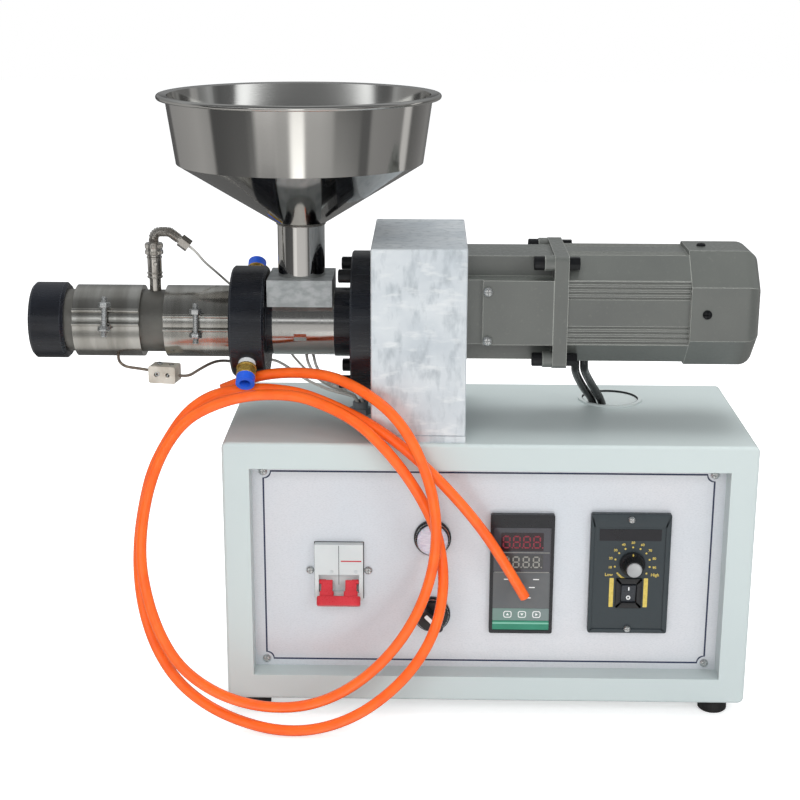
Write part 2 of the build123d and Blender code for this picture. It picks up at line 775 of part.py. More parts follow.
# Gland in the cabinet's top where the leads go in
gland_x = block_left - gland_from_block
with BuildPart() as cable_gland:
    with BuildSketch(Plane.XY.offset(cabinet_top)):
        with Locations((gland_x, gland_y)):
            RegularPolygon(gland_radius, 6)
    extrude(amount=gland_base_height)
    with BuildSketch(Plane.XY.offset(cabinet_top + gland_base_height)):
        with Locations((gland_x, gland_y)):
            Circle(gland_top_radius)
    extrude(amount=gland_height - gland_base_height)
    chamfer(cable_gland.faces().sort_by(Axis.Z)[-1].edges(), 0.6)
    with BuildSketch(Plane.XY.offset(cabinet_top + gland_height - gland_bore_depth)):
        with Locations((gland_x, gland_y)):
            Circle(gland_bore_radius)
    extrude(amount=gland_bore_depth, mode=Mode.SUBTRACT)
save(cable_gland.part, "cable_gland")

# Leads: each follows its own route and ends on the floor of the gland's bore
lead_floor = cabinet_top + gland_height - gland_bore_depth
terminal_out = terminal_plane.x_dir
terminal_left = terminal_mid - terminal_out * terminal_length / 2
terminal_right = terminal_mid + terminal_out * terminal_length / 2
terminal_lead = cord(
    (
        (-206, -14.01, 269.9), (-206, -16.6, 265.6), (-201, -18.6, 261.6), (-194.5, -18.9, 260.6),
        tuple(terminal_left - terminal_out * 6), tuple(terminal_left),
    ),
    lead_radius, "terminal lead",
)
save(terminal_lead, "terminal_lead")
front_heater_lead = cord(
    (
        tuple(terminal_right), tuple(terminal_right + terminal_out * 7), (-146, -12, 257.5),
        (-137, 0, 260.5), (-130, 14, 258.5), (-121, 30, 252.5), (-109, 41, 250), (-95, 38, 254),
        (-82.5, 27, 251), (-70, 15, 245), (-56, 8.5, 240), (-44, gland_y - 1.9, 236),
        (-33.5, gland_y - 1.9, 233.6), (gland_x - 2.7, gland_y - 1.9, 231),
        (gland_x - 1.9, gland_y - 1.9, lead_floor),
    ),
    lead_radius, "front heater lead",
)
save(front_heater_lead, "front_heater_lead")
sensor_lead = cord(
    (
        tuple(elbow_end), tuple(elbow_end + elbow_aim * 6), (-142, 6, 337.5), (-135, 20, 327), (-128, 37, 315),
        (-120, 52, 303), (-108, 57.5, 289), (-96, 55, 275), (-84, 43, 262), (-71, 27, 251), (-57, 16, 243),
        (-45, gland_y + 2.2, 237.5), (-34, gland_y + 1.9, 234.2), (gland_x - 2.7, gland_y + 1.9, 231.5),
        (gland_x - 1.9, gland_y + 1.9, lead_floor),
    ),
    sensor_lead_radius, "sensor lead",
)
save(sensor_lead, "sensor_lead")
rear_heater_lead_1 = cord(
    (
        (-125, 27.01, axis_z), (-124.5, 34.5, 293), (-121, 46, 292), (-108, 49.5, 290), (-94, 47.5, 287),
        (-81, 38.5, 283), (-70.5, 27, 276), (-66.5, 16, 267), (-64.5, 10.5, 256.5), (-57.5, 8, 247.5),
        (-44.5, gland_y - 1.9, 240.3), (-32.5, gland_y - 1.9, 237.3), (gland_x + 1, gland_y - 1.9, 234.3),
        (gland_x + 1.9, gland_y - 1.9, lead_floor),
    ),
    lead_radius, "rear heater lead 1",
)
save(rear_heater_lead_1, "rear_heater_lead_1")
rear_heater_lead_2 = cord(
    (
        (-131, 26.09, 286), (-130.5, 33.3, 284), (-126.5, 46.5, 281), (-110, 52.5, 280),
        (-95, 50, 276.5), (-80, 41.5, 274), (-67.5, 30, 269.5), (-61, 19, 264), (-59, 13, 255.5),
        (-54, 11.5, 247.5), (-43.5, gland_y + 1.9, 241), (-32.5, gland_y + 1.9, 237.9),
        (gland_x + 1, gland_y + 1.9, 234.8), (gland_x + 1.9, gland_y + 1.9, lead_floor),
    ),
    lead_radius, "rear heater lead 2",
)
save(rear_heater_lead_2, "rear_heater_lead_2")

# Cooling tube: two loose turns that stand on the floor and lean on the cabinet
cooling_tube = cord(
    (
        (-126, -33, 248), (-110, -31, 254.5), (-92, -32, 260), (-69, -39, 263.5), (-45, -49, 264), (-27, -61, 260),
        (-11, -74, 254), (3, -81, 244), (15, -85, 229), (24, -88, 211), (31, -89, 191), (35, -90, 168),
        (35, -91, 143), (30, -92, 117), (21, -94, 93), (6, -95, 68), (-15, -96, 45), (-40, -97, 28),
        (-66, -98, 20), (-94, -100, 21), (-120, -103, 30), (-141, -105, 44), (-157, -105, 61), (-169, -102, 84),
        (-177, -97, 109), (-181, -93, 136), (-179, -88, 165), (-173, -83, 192), (-163, -76, 216), (-148, -69, 235),
        (-129, -62, 244), (-108, -59, 250), (-86, -59, 252), (-65, -61, 251), (-47, -66, 246), (-28, -74, 239),
        (-13, -81, 229), (2, -82, 213), (15, -81, 195), (26, -80, 176), (35, -80, 156), (40, -82, 133),
        (41, -87, 110), (36, -93, 84), (24, -98, 60), (5, -103, 38), (-22, -106, 17.5), (-52, -106, 5.8),
        (-81, -106, 4.6), (-110, -100, 9), (-136, -96, 20), (-157, -94, 38), (-172, -91, 62), (-181, -87, 89),
        (-185, -82, 116), (-185, -76, 143), (-181, -71, 170), (-175, -65, 195), (-164, -60, 216), (-151, -54, 235),
        (-136, -49, 246), (-120.3, -43.1, 249.9), (-104.9, -39.2, 250.6), (-88, -40.5, 251), (-66, -47, 250),
        (-47, -54, 245),
        (-29, -62, 239), (-13, -71, 233), (4, -76, 223), (24, -77, 206), (46, -76, 183), (67, -74, 157),
        (86, -71, 127), (102, -68, 98),
    ),
    tube_radius, "cooling tube",
)
save(cooling_tube, "cooling_tube")
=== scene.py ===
import math

import bmesh
import bpy
from mathutils import Matrix, Vector


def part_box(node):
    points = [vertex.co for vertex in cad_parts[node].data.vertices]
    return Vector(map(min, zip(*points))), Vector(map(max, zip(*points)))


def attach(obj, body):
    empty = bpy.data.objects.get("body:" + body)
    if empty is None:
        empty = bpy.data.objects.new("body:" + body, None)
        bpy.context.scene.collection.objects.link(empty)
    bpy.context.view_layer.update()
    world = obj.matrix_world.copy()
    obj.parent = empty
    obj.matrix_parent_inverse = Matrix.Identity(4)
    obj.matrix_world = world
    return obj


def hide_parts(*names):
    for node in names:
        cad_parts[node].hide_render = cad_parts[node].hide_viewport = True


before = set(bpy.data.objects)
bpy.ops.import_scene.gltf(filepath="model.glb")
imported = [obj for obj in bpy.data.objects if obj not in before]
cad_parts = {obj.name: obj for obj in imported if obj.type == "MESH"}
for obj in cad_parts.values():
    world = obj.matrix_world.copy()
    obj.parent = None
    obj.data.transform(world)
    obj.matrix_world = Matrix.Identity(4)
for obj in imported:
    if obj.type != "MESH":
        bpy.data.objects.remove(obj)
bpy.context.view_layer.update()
MM = 0.001

# The studio: a camera a little above the motor at arm's length, a large soft lamp from the upper
# left, a weaker one from the right and one overhead. Bright metal mirrors a room that is lighter
# and darker by direction, and the background is white.
CAMERA_PLACE = (0.0274, -1.1623, 0.5632)
CAMERA_HEADING, CAMERA_DIP, CAMERA_ROLL = 1.016, 15.923, 0.188
camera_data = bpy.data.cameras.new("photo_camera")
camera_data.sensor_width = 36
camera_data.lens = 70.74
camera = bpy.data.objects.new("photo_camera", camera_data)
bpy.context.scene.collection.objects.link(camera)
camera.matrix_world = (
    Matrix.Translation(CAMERA_PLACE)
    @ Matrix.Rotation(math.radians(CAMERA_HEADING), 4, "Z")
    @ Matrix.Rotation(math.radians(90 - CAMERA_DIP), 4, "X")
    @ Matrix.Rotation(math.radians(CAMERA_ROLL), 4, "Z")
)
bpy.context.scene.camera = camera
bpy.context.scene.view_settings.view_transform = "Standard"


def soft_lamp(name, place, target, size, watts):
    """Rectangular studio lamp that faces a point of the object."""
    lamp = bpy.data.lights.new(name, "AREA")
    lamp.shape = "RECTANGLE"
    lamp.size, lamp.size_y = size
    lamp.energy = watts
    holder = bpy.data.objects.new(name, lamp)
    bpy.context.scene.collection.objects.link(holder)
    aim = Vector(target) - Vector(place)
    holder.matrix_world = Matrix.Translation(place) @ aim.to_track_quat("-Z", "Y").to_matrix().to_4x4()
    holder.visible_glossy = False


MACHINE_MIDDLE = (0, 0, 0.2)
soft_lamp("key_lamp", (-0.55, -2.7, 1.7), MACHINE_MIDDLE, (1.6, 1.4), 33)
soft_lamp("fill_lamp", (1.6, -2.0, 1.1), MACHINE_MIDDLE, (0.8, 1.4), 13)
soft_lamp("top_lamp", (0.1, 0.2, 2.0), MACHINE_MIDDLE, (1.6, 1.2), 24)

studio = bpy.data.worlds.new("studio")
bpy.context.scene.world = studio
studio.use_nodes = True
air = studio.node_tree
background = air.nodes["Background"]
directions = air.nodes.new("ShaderNodeTexCoord")
toward = air.nodes.new("ShaderNodeSeparateXYZ")
air.links.new(directions.outputs["Generated"], toward.inputs[0])


def turn_about(across, ahead):
    """Angle of a direction about an axis of the room, from 0 to 1 for a whole turn, 0.5 ahead."""
    back = air.nodes.new("ShaderNodeMath")
    back.operation = "MULTIPLY"
    back.inputs[1].default_value = -1
    air.links.new(ahead, back.inputs[0])
    angle = air.nodes.new("ShaderNodeMath")
    angle.operation = "ARCTAN2"
    air.links.new(across, angle.inputs[0])
    air.links.new(back.outputs[0], angle.inputs[1])
    share = air.nodes.new("ShaderNodeMapRange")
    share.inputs["From Min"].default_value = -math.pi
    share.inputs["From Max"].default_value = math.pi
    air.links.new(angle.outputs[0], share.inputs["Value"])
    return share.outputs["Result"]


def room_levels(share, levels, tint):
    """Light and dark parts of the room by angle in degrees, 0 being behind the camera."""
    ramp = air.nodes.new("ShaderNodeValToRGB")
    stops = ramp.color_ramp.elements
    for stop, (degrees, level) in ((stops[0], levels[0]), (stops[1], levels[-1])):
        stop.position = (degrees + 180) / 360
        stop.color = tuple(level * part for part in tint) + (1,)
    for degrees, level in levels[1:-1]:
        stops.new((degrees + 180) / 360).color = tuple(level * part for part in tint) + (1,)
    air.links.new(share, ramp.inputs["Fac"])
    return ramp.outputs["Color"]


def blended(lower, upper, height, start, end):
    """Goes from one part of the room to another as the value rises from start to end."""
    share = air.nodes.new("ShaderNodeMapRange")
    share.inputs["From Min"].default_value = start
    share.inputs["From Max"].default_value = end
    air.links.new(height, share.inputs["Value"])
    mix = air.nodes.new("ShaderNodeMixRGB")
    air.links.new(share.outputs["Result"], mix.inputs["Fac"])
    air.links.new(lower, mix.inputs["Color1"])
    air.links.new(upper, mix.inputs["Color2"])
    return mix.outputs["Color"]


round_room = turn_about(toward.outputs["X"], toward.outputs["Y"])
over_room = turn_about(toward.outputs["Z"], toward.outputs["Y"])
low_room = room_levels(round_room, (
    (-180, 0.05), (-146, 0.08), (-141, 0.30), (-96, 0.44), (-81, 0.36), (-78, 0.03), (-71, 0.05),
    (-56, 0.10), (-44, 0.09), (-41, 0.20), (-34, 0.17), (-31, 0.05), (-20, 0.07), (-17, 0.26), (-6, 0.30),
    (-2, 2.1), (7, 2.2), (10, 0.38), (44, 0.38), (59, 0.30), (62, 0.05), (69, 0.05), (72, 0.25),
    (107, 0.20), (110, 0.75), (117, 0.7), (121, 0.10), (154, 0.22), (180, 0.06)), (1.0, 0.99, 0.96))
level_room = room_levels(round_room, (
    (-180, 0.05), (-146, 0.08), (-141, 0.30), (-96, 0.44), (-81, 0.36), (-78, 0.03), (-38, 0.05), (-33, 0.9),
    (-21, 1.1), (-15, 0.72), (22, 0.68), (33, 0.45), (37, 0.05), (69, 0.05), (72, 0.27), (107, 0.22),
    (110, 0.75), (117, 0.7), (121, 0.10), (154, 0.24), (180, 0.06)), (1.0, 0.98, 0.96))
high_room = room_levels(over_room, (
    (-180, 0.25), (0, 0.13), (12, 0.18), (15, 1.5), (18, 1.5), (21, 0.16), (45, 0.13), (80, 0.2),
    (95, 0.36), (130, 0.45), (165, 0.26), (180, 0.28)), (0.97, 0.99, 1.0))
steep_room = room_levels(round_room, (
    (-180, 0.05), (-130, 0.05), (-118, 0.50), (0, 0.80), (118, 0.50), (130, 0.05), (180, 0.05)),
    (1.0, 0.98, 0.95))
under_room = blended(steep_room, low_room, toward.outputs["Z"], -0.76, -0.62)
lower_room = blended(under_room, level_room, toward.outputs["Z"], -0.42, -0.32)
whole_room = blended(lower_room, high_room, toward.outputs["Z"], 0.0, 0.12)
ray = air.nodes.new("ShaderNodeLightPath")
seen = air.nodes.new("ShaderNodeMixRGB")
seen.inputs["Color1"].default_value = (0.60, 0.61, 0.62, 1)
air.links.new(ray.outputs["Is Glossy Ray"], seen.inputs["Fac"])
air.links.new(whole_room, seen.inputs["Color2"])
plain = air.nodes.new("ShaderNodeMixRGB")
plain.inputs["Color2"].default_value = (1, 1, 1, 1)
air.links.new(ray.outputs["Is Camera Ray"], plain.inputs["Fac"])
air.links.new(seen.outputs["Color"], plain.inputs["Color1"])
air.links.new(plain.outputs["Color"], background.inputs["Color"])


def srgb(red, green, blue):
    """A colour as it looks, 0 to 255, in the numbers that a shader takes."""
    return tuple(((level / 255 + 0.055) / 1.055) ** 2.4 for level in (red, green, blue)) + (1.0,)


def finish(name, colour, roughness, metallic=0.0, **others):
    """Shader of one finish; others are sockets by their names, with _ for a space."""
    material = bpy.data.materials.new(name)
    material.use_nodes = True
    shader = material.node_tree.nodes["Principled BSDF"]
    shader.inputs["Base Color"].default_value = colour
    shader.inputs["Roughness"].default_value = roughness
    shader.inputs["Metallic"].default_value = metallic
    for socket, value in others.items():
        shader.inputs[socket.replace("_", " ")].default_value = value
    return material


def over(material, colour, share):
    """Lays a colour over what the material has so far, by a share from 0 to 1."""
    tree = material.node_tree
    shader = tree.nodes["Principled BSDF"]
    mix = tree.nodes.new("ShaderNodeMixRGB")
    mix.inputs["Color1"].default_value = shader.inputs["Base Color"].default_value
    mix.inputs["Color2"].default_value = colour
    if shader.inputs["Base Color"].is_linked:
        tree.links.new(shader.inputs["Base Color"].links[0].from_socket, mix.inputs["Color1"])
    tree.links.new(share, mix.inputs["Fac"])
    tree.links.new(mix.outputs["Color"], shader.inputs["Base Color"])


def texture(material, scale, stretch=(1, 1, 1), second=None, spread=(0.4, 0.65), roughness=None,
            height=0.0, detail=5.0):
    """Adds noise in the part's own metres: a second colour, a range of roughness, a bump in mm."""
    tree = material.node_tree
    shader = tree.nodes["Principled BSDF"]
    place = tree.nodes.new("ShaderNodeTexCoord")
    stretching = tree.nodes.new("ShaderNodeMapping")
    stretching.inputs["Scale"].default_value = stretch
    noise = tree.nodes.new("ShaderNodeTexNoise")
    noise.inputs["Scale"].default_value = scale
    noise.inputs["Detail"].default_value = detail
    tree.links.new(place.outputs["Object"], stretching.inputs["Vector"])
    tree.links.new(stretching.outputs["Vector"], noise.inputs["Vector"])
    if second is not None:
        share = tree.nodes.new("ShaderNodeMapRange")
        share.inputs["From Min"].default_value, share.inputs["From Max"].default_value = spread
        tree.links.new(noise.outputs["Fac"], share.inputs["Value"])
        over(material, second, share.outputs["Result"])
    if roughness is not None:
        span = tree.nodes.new("ShaderNodeMapRange")
        span.inputs["From Min"].default_value = 0.3
        span.inputs["From Max"].default_value = 0.7
        span.inputs["To Min"].default_value = roughness[0]
        span.inputs["To Max"].default_value = roughness[1]
        tree.links.new(noise.outputs["Fac"], span.inputs["Value"])
        tree.links.new(span.outputs["Result"], shader.inputs["Roughness"])
    if height:
        bump = tree.nodes.new("ShaderNodeBump")
        bump.inputs["Distance"].default_value = height * MM
        bump.inputs["Strength"].default_value = 1.0
        tree.links.new(noise.outputs["Fac"], bump.inputs["Height"])
        if shader.inputs["Normal"].is_linked:
            tree.links.new(shader.inputs["Normal"].links[0].from_socket, bump.inputs["Normal"])
        tree.links.new(bump.outputs["Normal"], shader.inputs["Normal"])
    return material


def dress(material, *names):
    """Puts a finish on the solids of these nodes."""
    for name in names:
        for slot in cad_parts[name].material_slots:
            slot.material = material


# Floor: matt white paint that glows a little to the camera, so that it meets the background with
# no edge, and is thin to reflections, so that metal mirrors the room that lies below the horizon.
FLOOR_GLOW, FLOOR_THINNESS = 0.5, 0.92
floor_paint = finish("studio_floor", (0.90, 0.90, 0.90, 1), 0.9)
floor_tree = floor_paint.node_tree
floor_ray = floor_tree.nodes.new("ShaderNodeLightPath")
floor_glow = floor_tree.nodes.new("ShaderNodeEmission")
floor_glow_level = floor_tree.nodes.new("ShaderNodeMath")
floor_glow_level.operation = "MULTIPLY"
floor_glow_level.inputs[1].default_value = FLOOR_GLOW
floor_sum = floor_tree.nodes.new("ShaderNodeAddShader")
floor_thin = floor_tree.nodes.new("ShaderNodeMath")
floor_thin.operation = "MULTIPLY"
floor_thin.inputs[1].default_value = FLOOR_THINNESS
floor_gap = floor_tree.nodes.new("ShaderNodeBsdfTransparent")
floor_mix = floor_tree.nodes.new("ShaderNodeMixShader")
for start, end in (
    (floor_ray.outputs["Is Camera Ray"], floor_glow_level.inputs[0]),
    (floor_glow_level.outputs[0], floor_glow.inputs["Strength"]),
    (floor_tree.nodes["Principled BSDF"].outputs["BSDF"], floor_sum.inputs[0]),
    (floor_glow.outputs["Emission"], floor_sum.inputs[1]),
    (floor_ray.outputs["Is Glossy Ray"], floor_thin.inputs[0]),
    (floor_thin.outputs[0], floor_mix.inputs["Fac"]),
    (floor_sum.outputs[0], floor_mix.inputs[1]),
    (floor_gap.outputs["BSDF"], floor_mix.inputs[2]),
    (floor_mix.outputs[0], floor_tree.nodes["Material Output"].inputs["Surface"]),
):
    floor_tree.links.new(start, end)
floor_mesh = bpy.data.meshes.new("studio_floor")
floor_mesh.from_pydata([(-6, -6, 0), (6, -6, 0), (6, 6, 0), (-6, 6, 0)], [], [(0, 1, 2, 3)])
floor_mesh.materials.append(texture(floor_paint, 2.0, second=(0.88, 0.88, 0.88, 1)))
studio_floor = bpy.data.objects.new("studio_floor", floor_mesh)
bpy.context.scene.collection.objects.link(studio_floor)

# Cooling tube: glossy orange polyurethane tube of 8 mm, laid loosely in two turns that stand on
# the floor and lean on the cabinet. Both ends are bare: one is tucked in by the lower fitting.
orange_tube = finish("orange_tube", srgb(252, 108, 34), 0.2, Specular_IOR_Level=0.55, Coat_Weight=0.25,
                     Coat_Roughness=0.12, Subsurface_Weight=0.12, Subsurface_Scale=0.004)
texture(orange_tube, 60, second=srgb(246, 98, 28), roughness=(0.16, 0.26))
texture(orange_tube, 420, height=0.03)


def laid_cord(name, node, route, diameter, material):
    """Cord along a given route in millimetres, as a smooth curve that stands for its CAD solid."""
    curve = bpy.data.curves.new(name, "CURVE")
    curve.dimensions = "3D"
    curve.bevel_depth = diameter / 2
    curve.bevel_resolution = 5
    curve.resolution_u = 6
    curve.use_fill_caps = True
    line = curve.splines.new("NURBS")
    line.points.add(len(route) - 1)
    for point, (x, y, z) in zip(line.points, route):
        point.co = (x * MM, y * MM, z * MM, 1)
    line.order_u = 3
    line.use_endpoint_u = True
    line.use_smooth = True
    curve.materials.append(material)
    piece = bpy.data.objects.new(name, curve)
    bpy.context.scene.collection.objects.link(piece)
    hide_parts(node)
    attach(piece, "root")
    return piece


tube_route = [
    (-126, -33, 248), (-110, -31, 254.5), (-92, -32, 260), (-69, -39, 263.5), (-45, -49, 264),
    (-27, -61, 260), (-11, -74, 254), (3, -81, 244), (15, -85, 229), (24, -88, 211), (31, -89, 191),
    (35, -90, 168), (35, -91, 143), (30, -92, 117), (21, -94, 93), (6, -95, 68), (-15, -96, 45),
    (-40, -97, 28), (-66, -98, 20), (-94, -100, 21), (-120, -103, 30), (-141, -105, 44),
    (-157, -105, 61), (-169, -102, 84), (-177, -97, 109), (-181, -93, 136), (-179, -88, 165),
    (-173, -83, 192), (-163, -76, 216), (-148, -69, 235), (-129, -62, 244), (-108, -59, 250),
    (-86, -59, 252), (-65, -61, 251), (-47, -66, 246), (-28, -74, 239), (-13, -81, 229), (2, -82, 213),
    (15, -81, 195), (26, -80, 176), (35, -80, 156), (40, -82, 133), (41, -87, 110), (36, -93, 84),
    (24, -98, 60), (5, -103, 38), (-22, -106, 17.5), (-52, -106, 5.8), (-81, -106, 4.6),
    (-110, -100, 9), (-136, -96, 20), (-157, -94, 38), (-172, -91, 62), (-181, -87, 89),
    (-185, -82, 116), (-185, -76, 143), (-181, -71, 170), (-175, -65, 195), (-164, -60, 216),
    (-151, -54, 235), (-136, -49, 246), (-120.3, -43.1, 249.9), (-104.9, -39.2, 250.6),
    (-88, -40.5, 251), (-66, -47, 250), (-47, -54, 245), (-29, -62, 239), (-13, -71, 233),
    (4, -76, 223), (24, -77, 206), (46, -76, 183), (67, -74, 157), (86, -71, 127), (102, -68, 98),
]
laid_cord("orange_cooling_tube", "cooling_tube", tube_route, 0.008, orange_tube)

# Leads of the heaters and the sensor: thin wires in woven glass-fibre sleeves, which hang behind
# the cooling ring and under the throat and go into the gland in the cabinet's top.
fibre_sleeve = finish("fibre_sleeve", srgb(214, 214, 210), 0.6)
texture(fibre_sleeve, 300, second=srgb(172, 172, 168), spread=(0.45, 0.6))
texture(fibre_sleeve, 1500, height=0.12)
steel_braid = finish("steel_braid", srgb(206, 204, 198), 0.5, 0.15)
texture(steel_braid, 1800, height=0.08, roughness=(0.4, 0.6))
scorched_sleeve = finish("scorched_sleeve", srgb(128, 116, 102), 0.7)
texture(scorched_sleeve, 260, second=srgb(88, 78, 70), spread=(0.4, 0.6), height=0.1)
SCORCH_END, CLEAN_START = -0.135, -0.105
half_scorched = finish("half_scorched_sleeve", srgb(112, 102, 92), 0.65)
scorch_tree = half_scorched.node_tree
scorch_place = scorch_tree.nodes.new("ShaderNodeTexCoord")
scorch_along = scorch_tree.nodes.new("ShaderNodeSeparateXYZ")
scorch_share = scorch_tree.nodes.new("ShaderNodeMapRange")
scorch_share.inputs["From Min"].default_value = SCORCH_END
scorch_share.inputs["From Max"].default_value = CLEAN_START
scorch_ramp = scorch_tree.nodes.new("ShaderNodeValToRGB")
scorch_ramp.color_ramp.elements[0].color = srgb(112, 102, 92)
scorch_ramp.color_ramp.elements[1].color = srgb(206, 206, 200)
scorch_tree.links.new(scorch_place.outputs["Object"], scorch_along.inputs[0])
scorch_tree.links.new(scorch_along.outputs["X"], scorch_share.inputs["Value"])
scorch_tree.links.new(scorch_share.outputs["Result"], scorch_ramp.inputs["Fac"])
scorch_tree.links.new(scorch_ramp.outputs["Color"], scorch_tree.nodes["Principled BSDF"].inputs["Base Color"])
texture(half_scorched, 900, height=0.1, roughness=(0.55, 0.75))
gland_x, gland_y, gland_floor = -24.0, 9.0, 225.0
TERMINAL_TILT = math.radians(10)
terminal_mid = Vector((-170.75, -18, 256.5))
terminal_out = Vector((math.cos(TERMINAL_TILT), 0, -math.sin(TERMINAL_TILT)))
terminal_left = terminal_mid - terminal_out * 10.5
terminal_right = terminal_mid + terminal_out * 10.5
laid_cord(
    "sleeved_terminal_lead", "terminal_lead",
    [(-206, -14.01, 269.9), (-206, -16.6, 265.6), (-201, -18.6, 261.6), (-194.5, -18.9, 260.6),
     tuple(terminal_left - terminal_out * 6), tuple(terminal_left)],
    0.0022, scorched_sleeve,
)
laid_cord(
    "sleeved_front_heater_lead", "front_heater_lead",
    [tuple(terminal_right), tuple(terminal_right + terminal_out * 7), (-146, -12, 257.5),
     (-137, 0, 260.5), (-130, 14, 258.5), (-121, 30, 252.5), (-109, 41, 250), (-95, 38, 254),
     (-82.5, 27, 251), (-70, 15, 245), (-56, 8.5, 240), (-44, gland_y - 1.9, 236),
     (-33.5, gland_y - 1.9, 233.6), (gland_x - 2.7, gland_y - 1.9, 231),
     (gland_x - 1.9, gland_y - 1.9, gland_floor)],
    0.0022, half_scorched,
)
laid_cord(
    "braided_sensor_lead", "sensor_lead",
    [(-151.874, 0, 350.167), (-147.08, 0, 346.56), (-142, 6, 337.5), (-135, 20, 327), (-128, 37, 315),
     (-120, 52, 303), (-108, 57.5, 289), (-96, 55, 275), (-84, 43, 262), (-71, 27, 251), (-57, 16, 243),
     (-45, gland_y + 2.2, 237.5), (-34, gland_y + 1.9, 234.2), (gland_x - 2.7, gland_y + 1.9, 231.5),
     (gland_x - 1.9, gland_y + 1.9, gland_floor)],
    0.0018, steel_braid,
)
laid_cord(
    "sleeved_rear_heater_lead_1", "rear_heater_lead_1",
    [(-125, 27.01, 293), (-124.5, 34.5, 293), (-121, 46, 292), (-108, 49.5, 290), (-94, 47.5, 287),
     (-81, 38.5, 283), (-70.5, 27, 276), (-66.5, 16, 267), (-64.5, 10.5, 256.5), (-57.5, 8, 247.5),
     (-44.5, gland_y - 1.9, 240.3), (-32.5, gland_y - 1.9, 237.3), (gland_x + 1, gland_y - 1.9, 234.3),
     (gland_x + 1.9, gland_y - 1.9, gland_floor)],
    0.0022, fibre_sleeve,
)
laid_cord(
    "sleeved_rear_heater_lead_2", "rear_heater_lead_2",
    [(-131, 26.09, 286), (-130.5, 33.3, 284), (-126.5, 46.5, 281), (-110, 52.5, 280),
     (-95, 50, 276.5), (-80, 41.5, 274), (-67.5, 30, 269.5), (-61, 19, 264), (-59, 13, 255.5),
     (-54, 11.5, 247.5), (-43.5, gland_y + 1.9, 241), (-32.5, gland_y + 1.9, 237.9),
     (gland_x + 1, gland_y + 1.9, 234.8), (gland_x + 1.9, gland_y + 1.9, gland_floor)],
    0.0022, fibre_sleeve,
)

# Cabinet: a folded steel sheet wrap with a front frame and a back panel, powder-coated in a pale
# greenish grey, on four black rubber feet.
cabinet_paint = finish("cabinet_paint", srgb(194, 204, 203), 0.4, Coat_Weight=0.12, Coat_Roughness=0.3)
texture(cabinet_paint, 6, second=srgb(188, 198, 198), spread=(0.35, 0.7))
texture(cabinet_paint, 900, height=0.02, roughness=(0.36, 0.48))
dress(cabinet_paint, "cabinet_wrap", "front_frame", "back_panel")
foot_rubber = finish("foot_rubber", srgb(28, 28, 28), 0.65)
texture(foot_rubber, 500, height=0.08, roughness=(0.55, 0.75))
dress(foot_rubber, "feet")

# Cable hole: a pale edging round the hole behind the motor, with a black ring of painted shade
# in the gap at its rim, and a grey plug just inside it, through which the motor's two black leads go down.
edging_rubber = finish("edging_rubber", srgb(196, 204, 203), 0.5)
texture(edging_rubber, 400, height=0.05, roughness=(0.42, 0.6))
dress(edging_rubber, "cable_grommet")
cable_sheath = finish("cable_sheath", srgb(18, 18, 19), 0.22, Specular_IOR_Level=0.7)
texture(cable_sheath, 350, height=0.03, roughness=(0.16, 0.3))


def box(node):
    """Lowest and highest corners of a node at rest, in millimetres."""
    return [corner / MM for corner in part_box(node)]


def mesh_piece(name, shape, material, body="root", sharp=35):
    """Turns a bmesh in millimetres into a piece of the object with its finish, slot and body."""
    mesh = bpy.data.meshes.new(name)
    bmesh.ops.remove_doubles(shape, verts=shape.verts, dist=0.001)
    bmesh.ops.recalc_face_normals(shape, faces=shape.faces)
    bmesh.ops.scale(shape, vec=(MM, MM, MM), verts=shape.verts)
    shape.to_mesh(mesh)
    shape.free()
    mesh.shade_smooth()
    mesh.set_sharp_from_angle(angle=math.radians(sharp))
    mesh.materials.append(material)
    piece = bpy.data.objects.new(name, mesh)
    bpy.context.scene.collection.objects.link(piece)
    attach(piece, body)
    return piece


def turned(shape, profile, place, aim, segments=32, cross=0.0):
    """Adds a turned body of (radius, height) steps; cross is the depth of a cross slot in its top."""
    turn = Vector(aim).to_track_quat("Z", "Y").to_matrix().to_4x4()
    turn.translation = place
    rings = []
    for radius, height in profile:
        if radius == 0:
            rings.append([shape.verts.new(turn @ Vector((0, 0, height - cross)))])
            continue
        ring = []
        for k in range(segments):
            angle = 2 * math.pi * k / segments
            sunk = cross if radius < 0.62 * profile[0][0] and k % (segments // 4) == 0 else 0.0
            ring.append(shape.verts.new(
                turn @ Vector((radius * math.cos(angle), radius * math.sin(angle), height - sunk))))
        rings.append(ring)
    for lower, upper in zip(rings, rings[1:]):
        for k in range(segments):
            n = (k + 1) % segments
            if len(upper) == 1:
                shape.faces.new((lower[k], lower[n], upper[0]))
            elif len(lower) == 1:
                shape.faces.new((lower[0], upper[n], upper[k]))
            else:
                shape.faces.new((lower[k], lower[n], upper[n], upper[k]))


hole_low, hole_high = box("cable_grommet")
hole_x, hole_y = (hole_low.x + hole_high.x) / 2, (hole_low.y + hole_high.y) / 2
sheet_top = box("cabinet_wrap")[1].z
# A thin black ring inside the hole's rim: painted shade for the gap between the rim and the plug.
hole_gap_shade = bmesh.new()
turned(hole_gap_shade, ((22.5, -1.6), (22.5, 1.45), (22.3, 1.5), (22.3, -1.6), (22.5, -1.6)),
       (hole_x, hole_y, sheet_top), (0, 0, 1), 64)
gap_shade_black = finish("gap_shade_black", srgb(24, 26, 28), 0.6)
texture(gap_shade_black, 500, height=0.05, roughness=(0.5, 0.7))
mesh_piece("cable_hole_gap_shade", hole_gap_shade, gap_shade_black)
hole_plug = bmesh.new()
turned(hole_plug, ((0, -1.9), (22.3, -1.9), (22.3, -0.5), (21.9, -0.1), (0, -0.1)),
       (hole_x, hole_y, sheet_top), (0, 0, 1), 64)
mesh_piece("cable_hole_plug", hole_plug, edging_rubber)
motor_under = box("motor_cable")[1].z
LEAD_RADIUS = 3.1
lead_curve = bpy.data.curves.new("motor_leads", "CURVE")
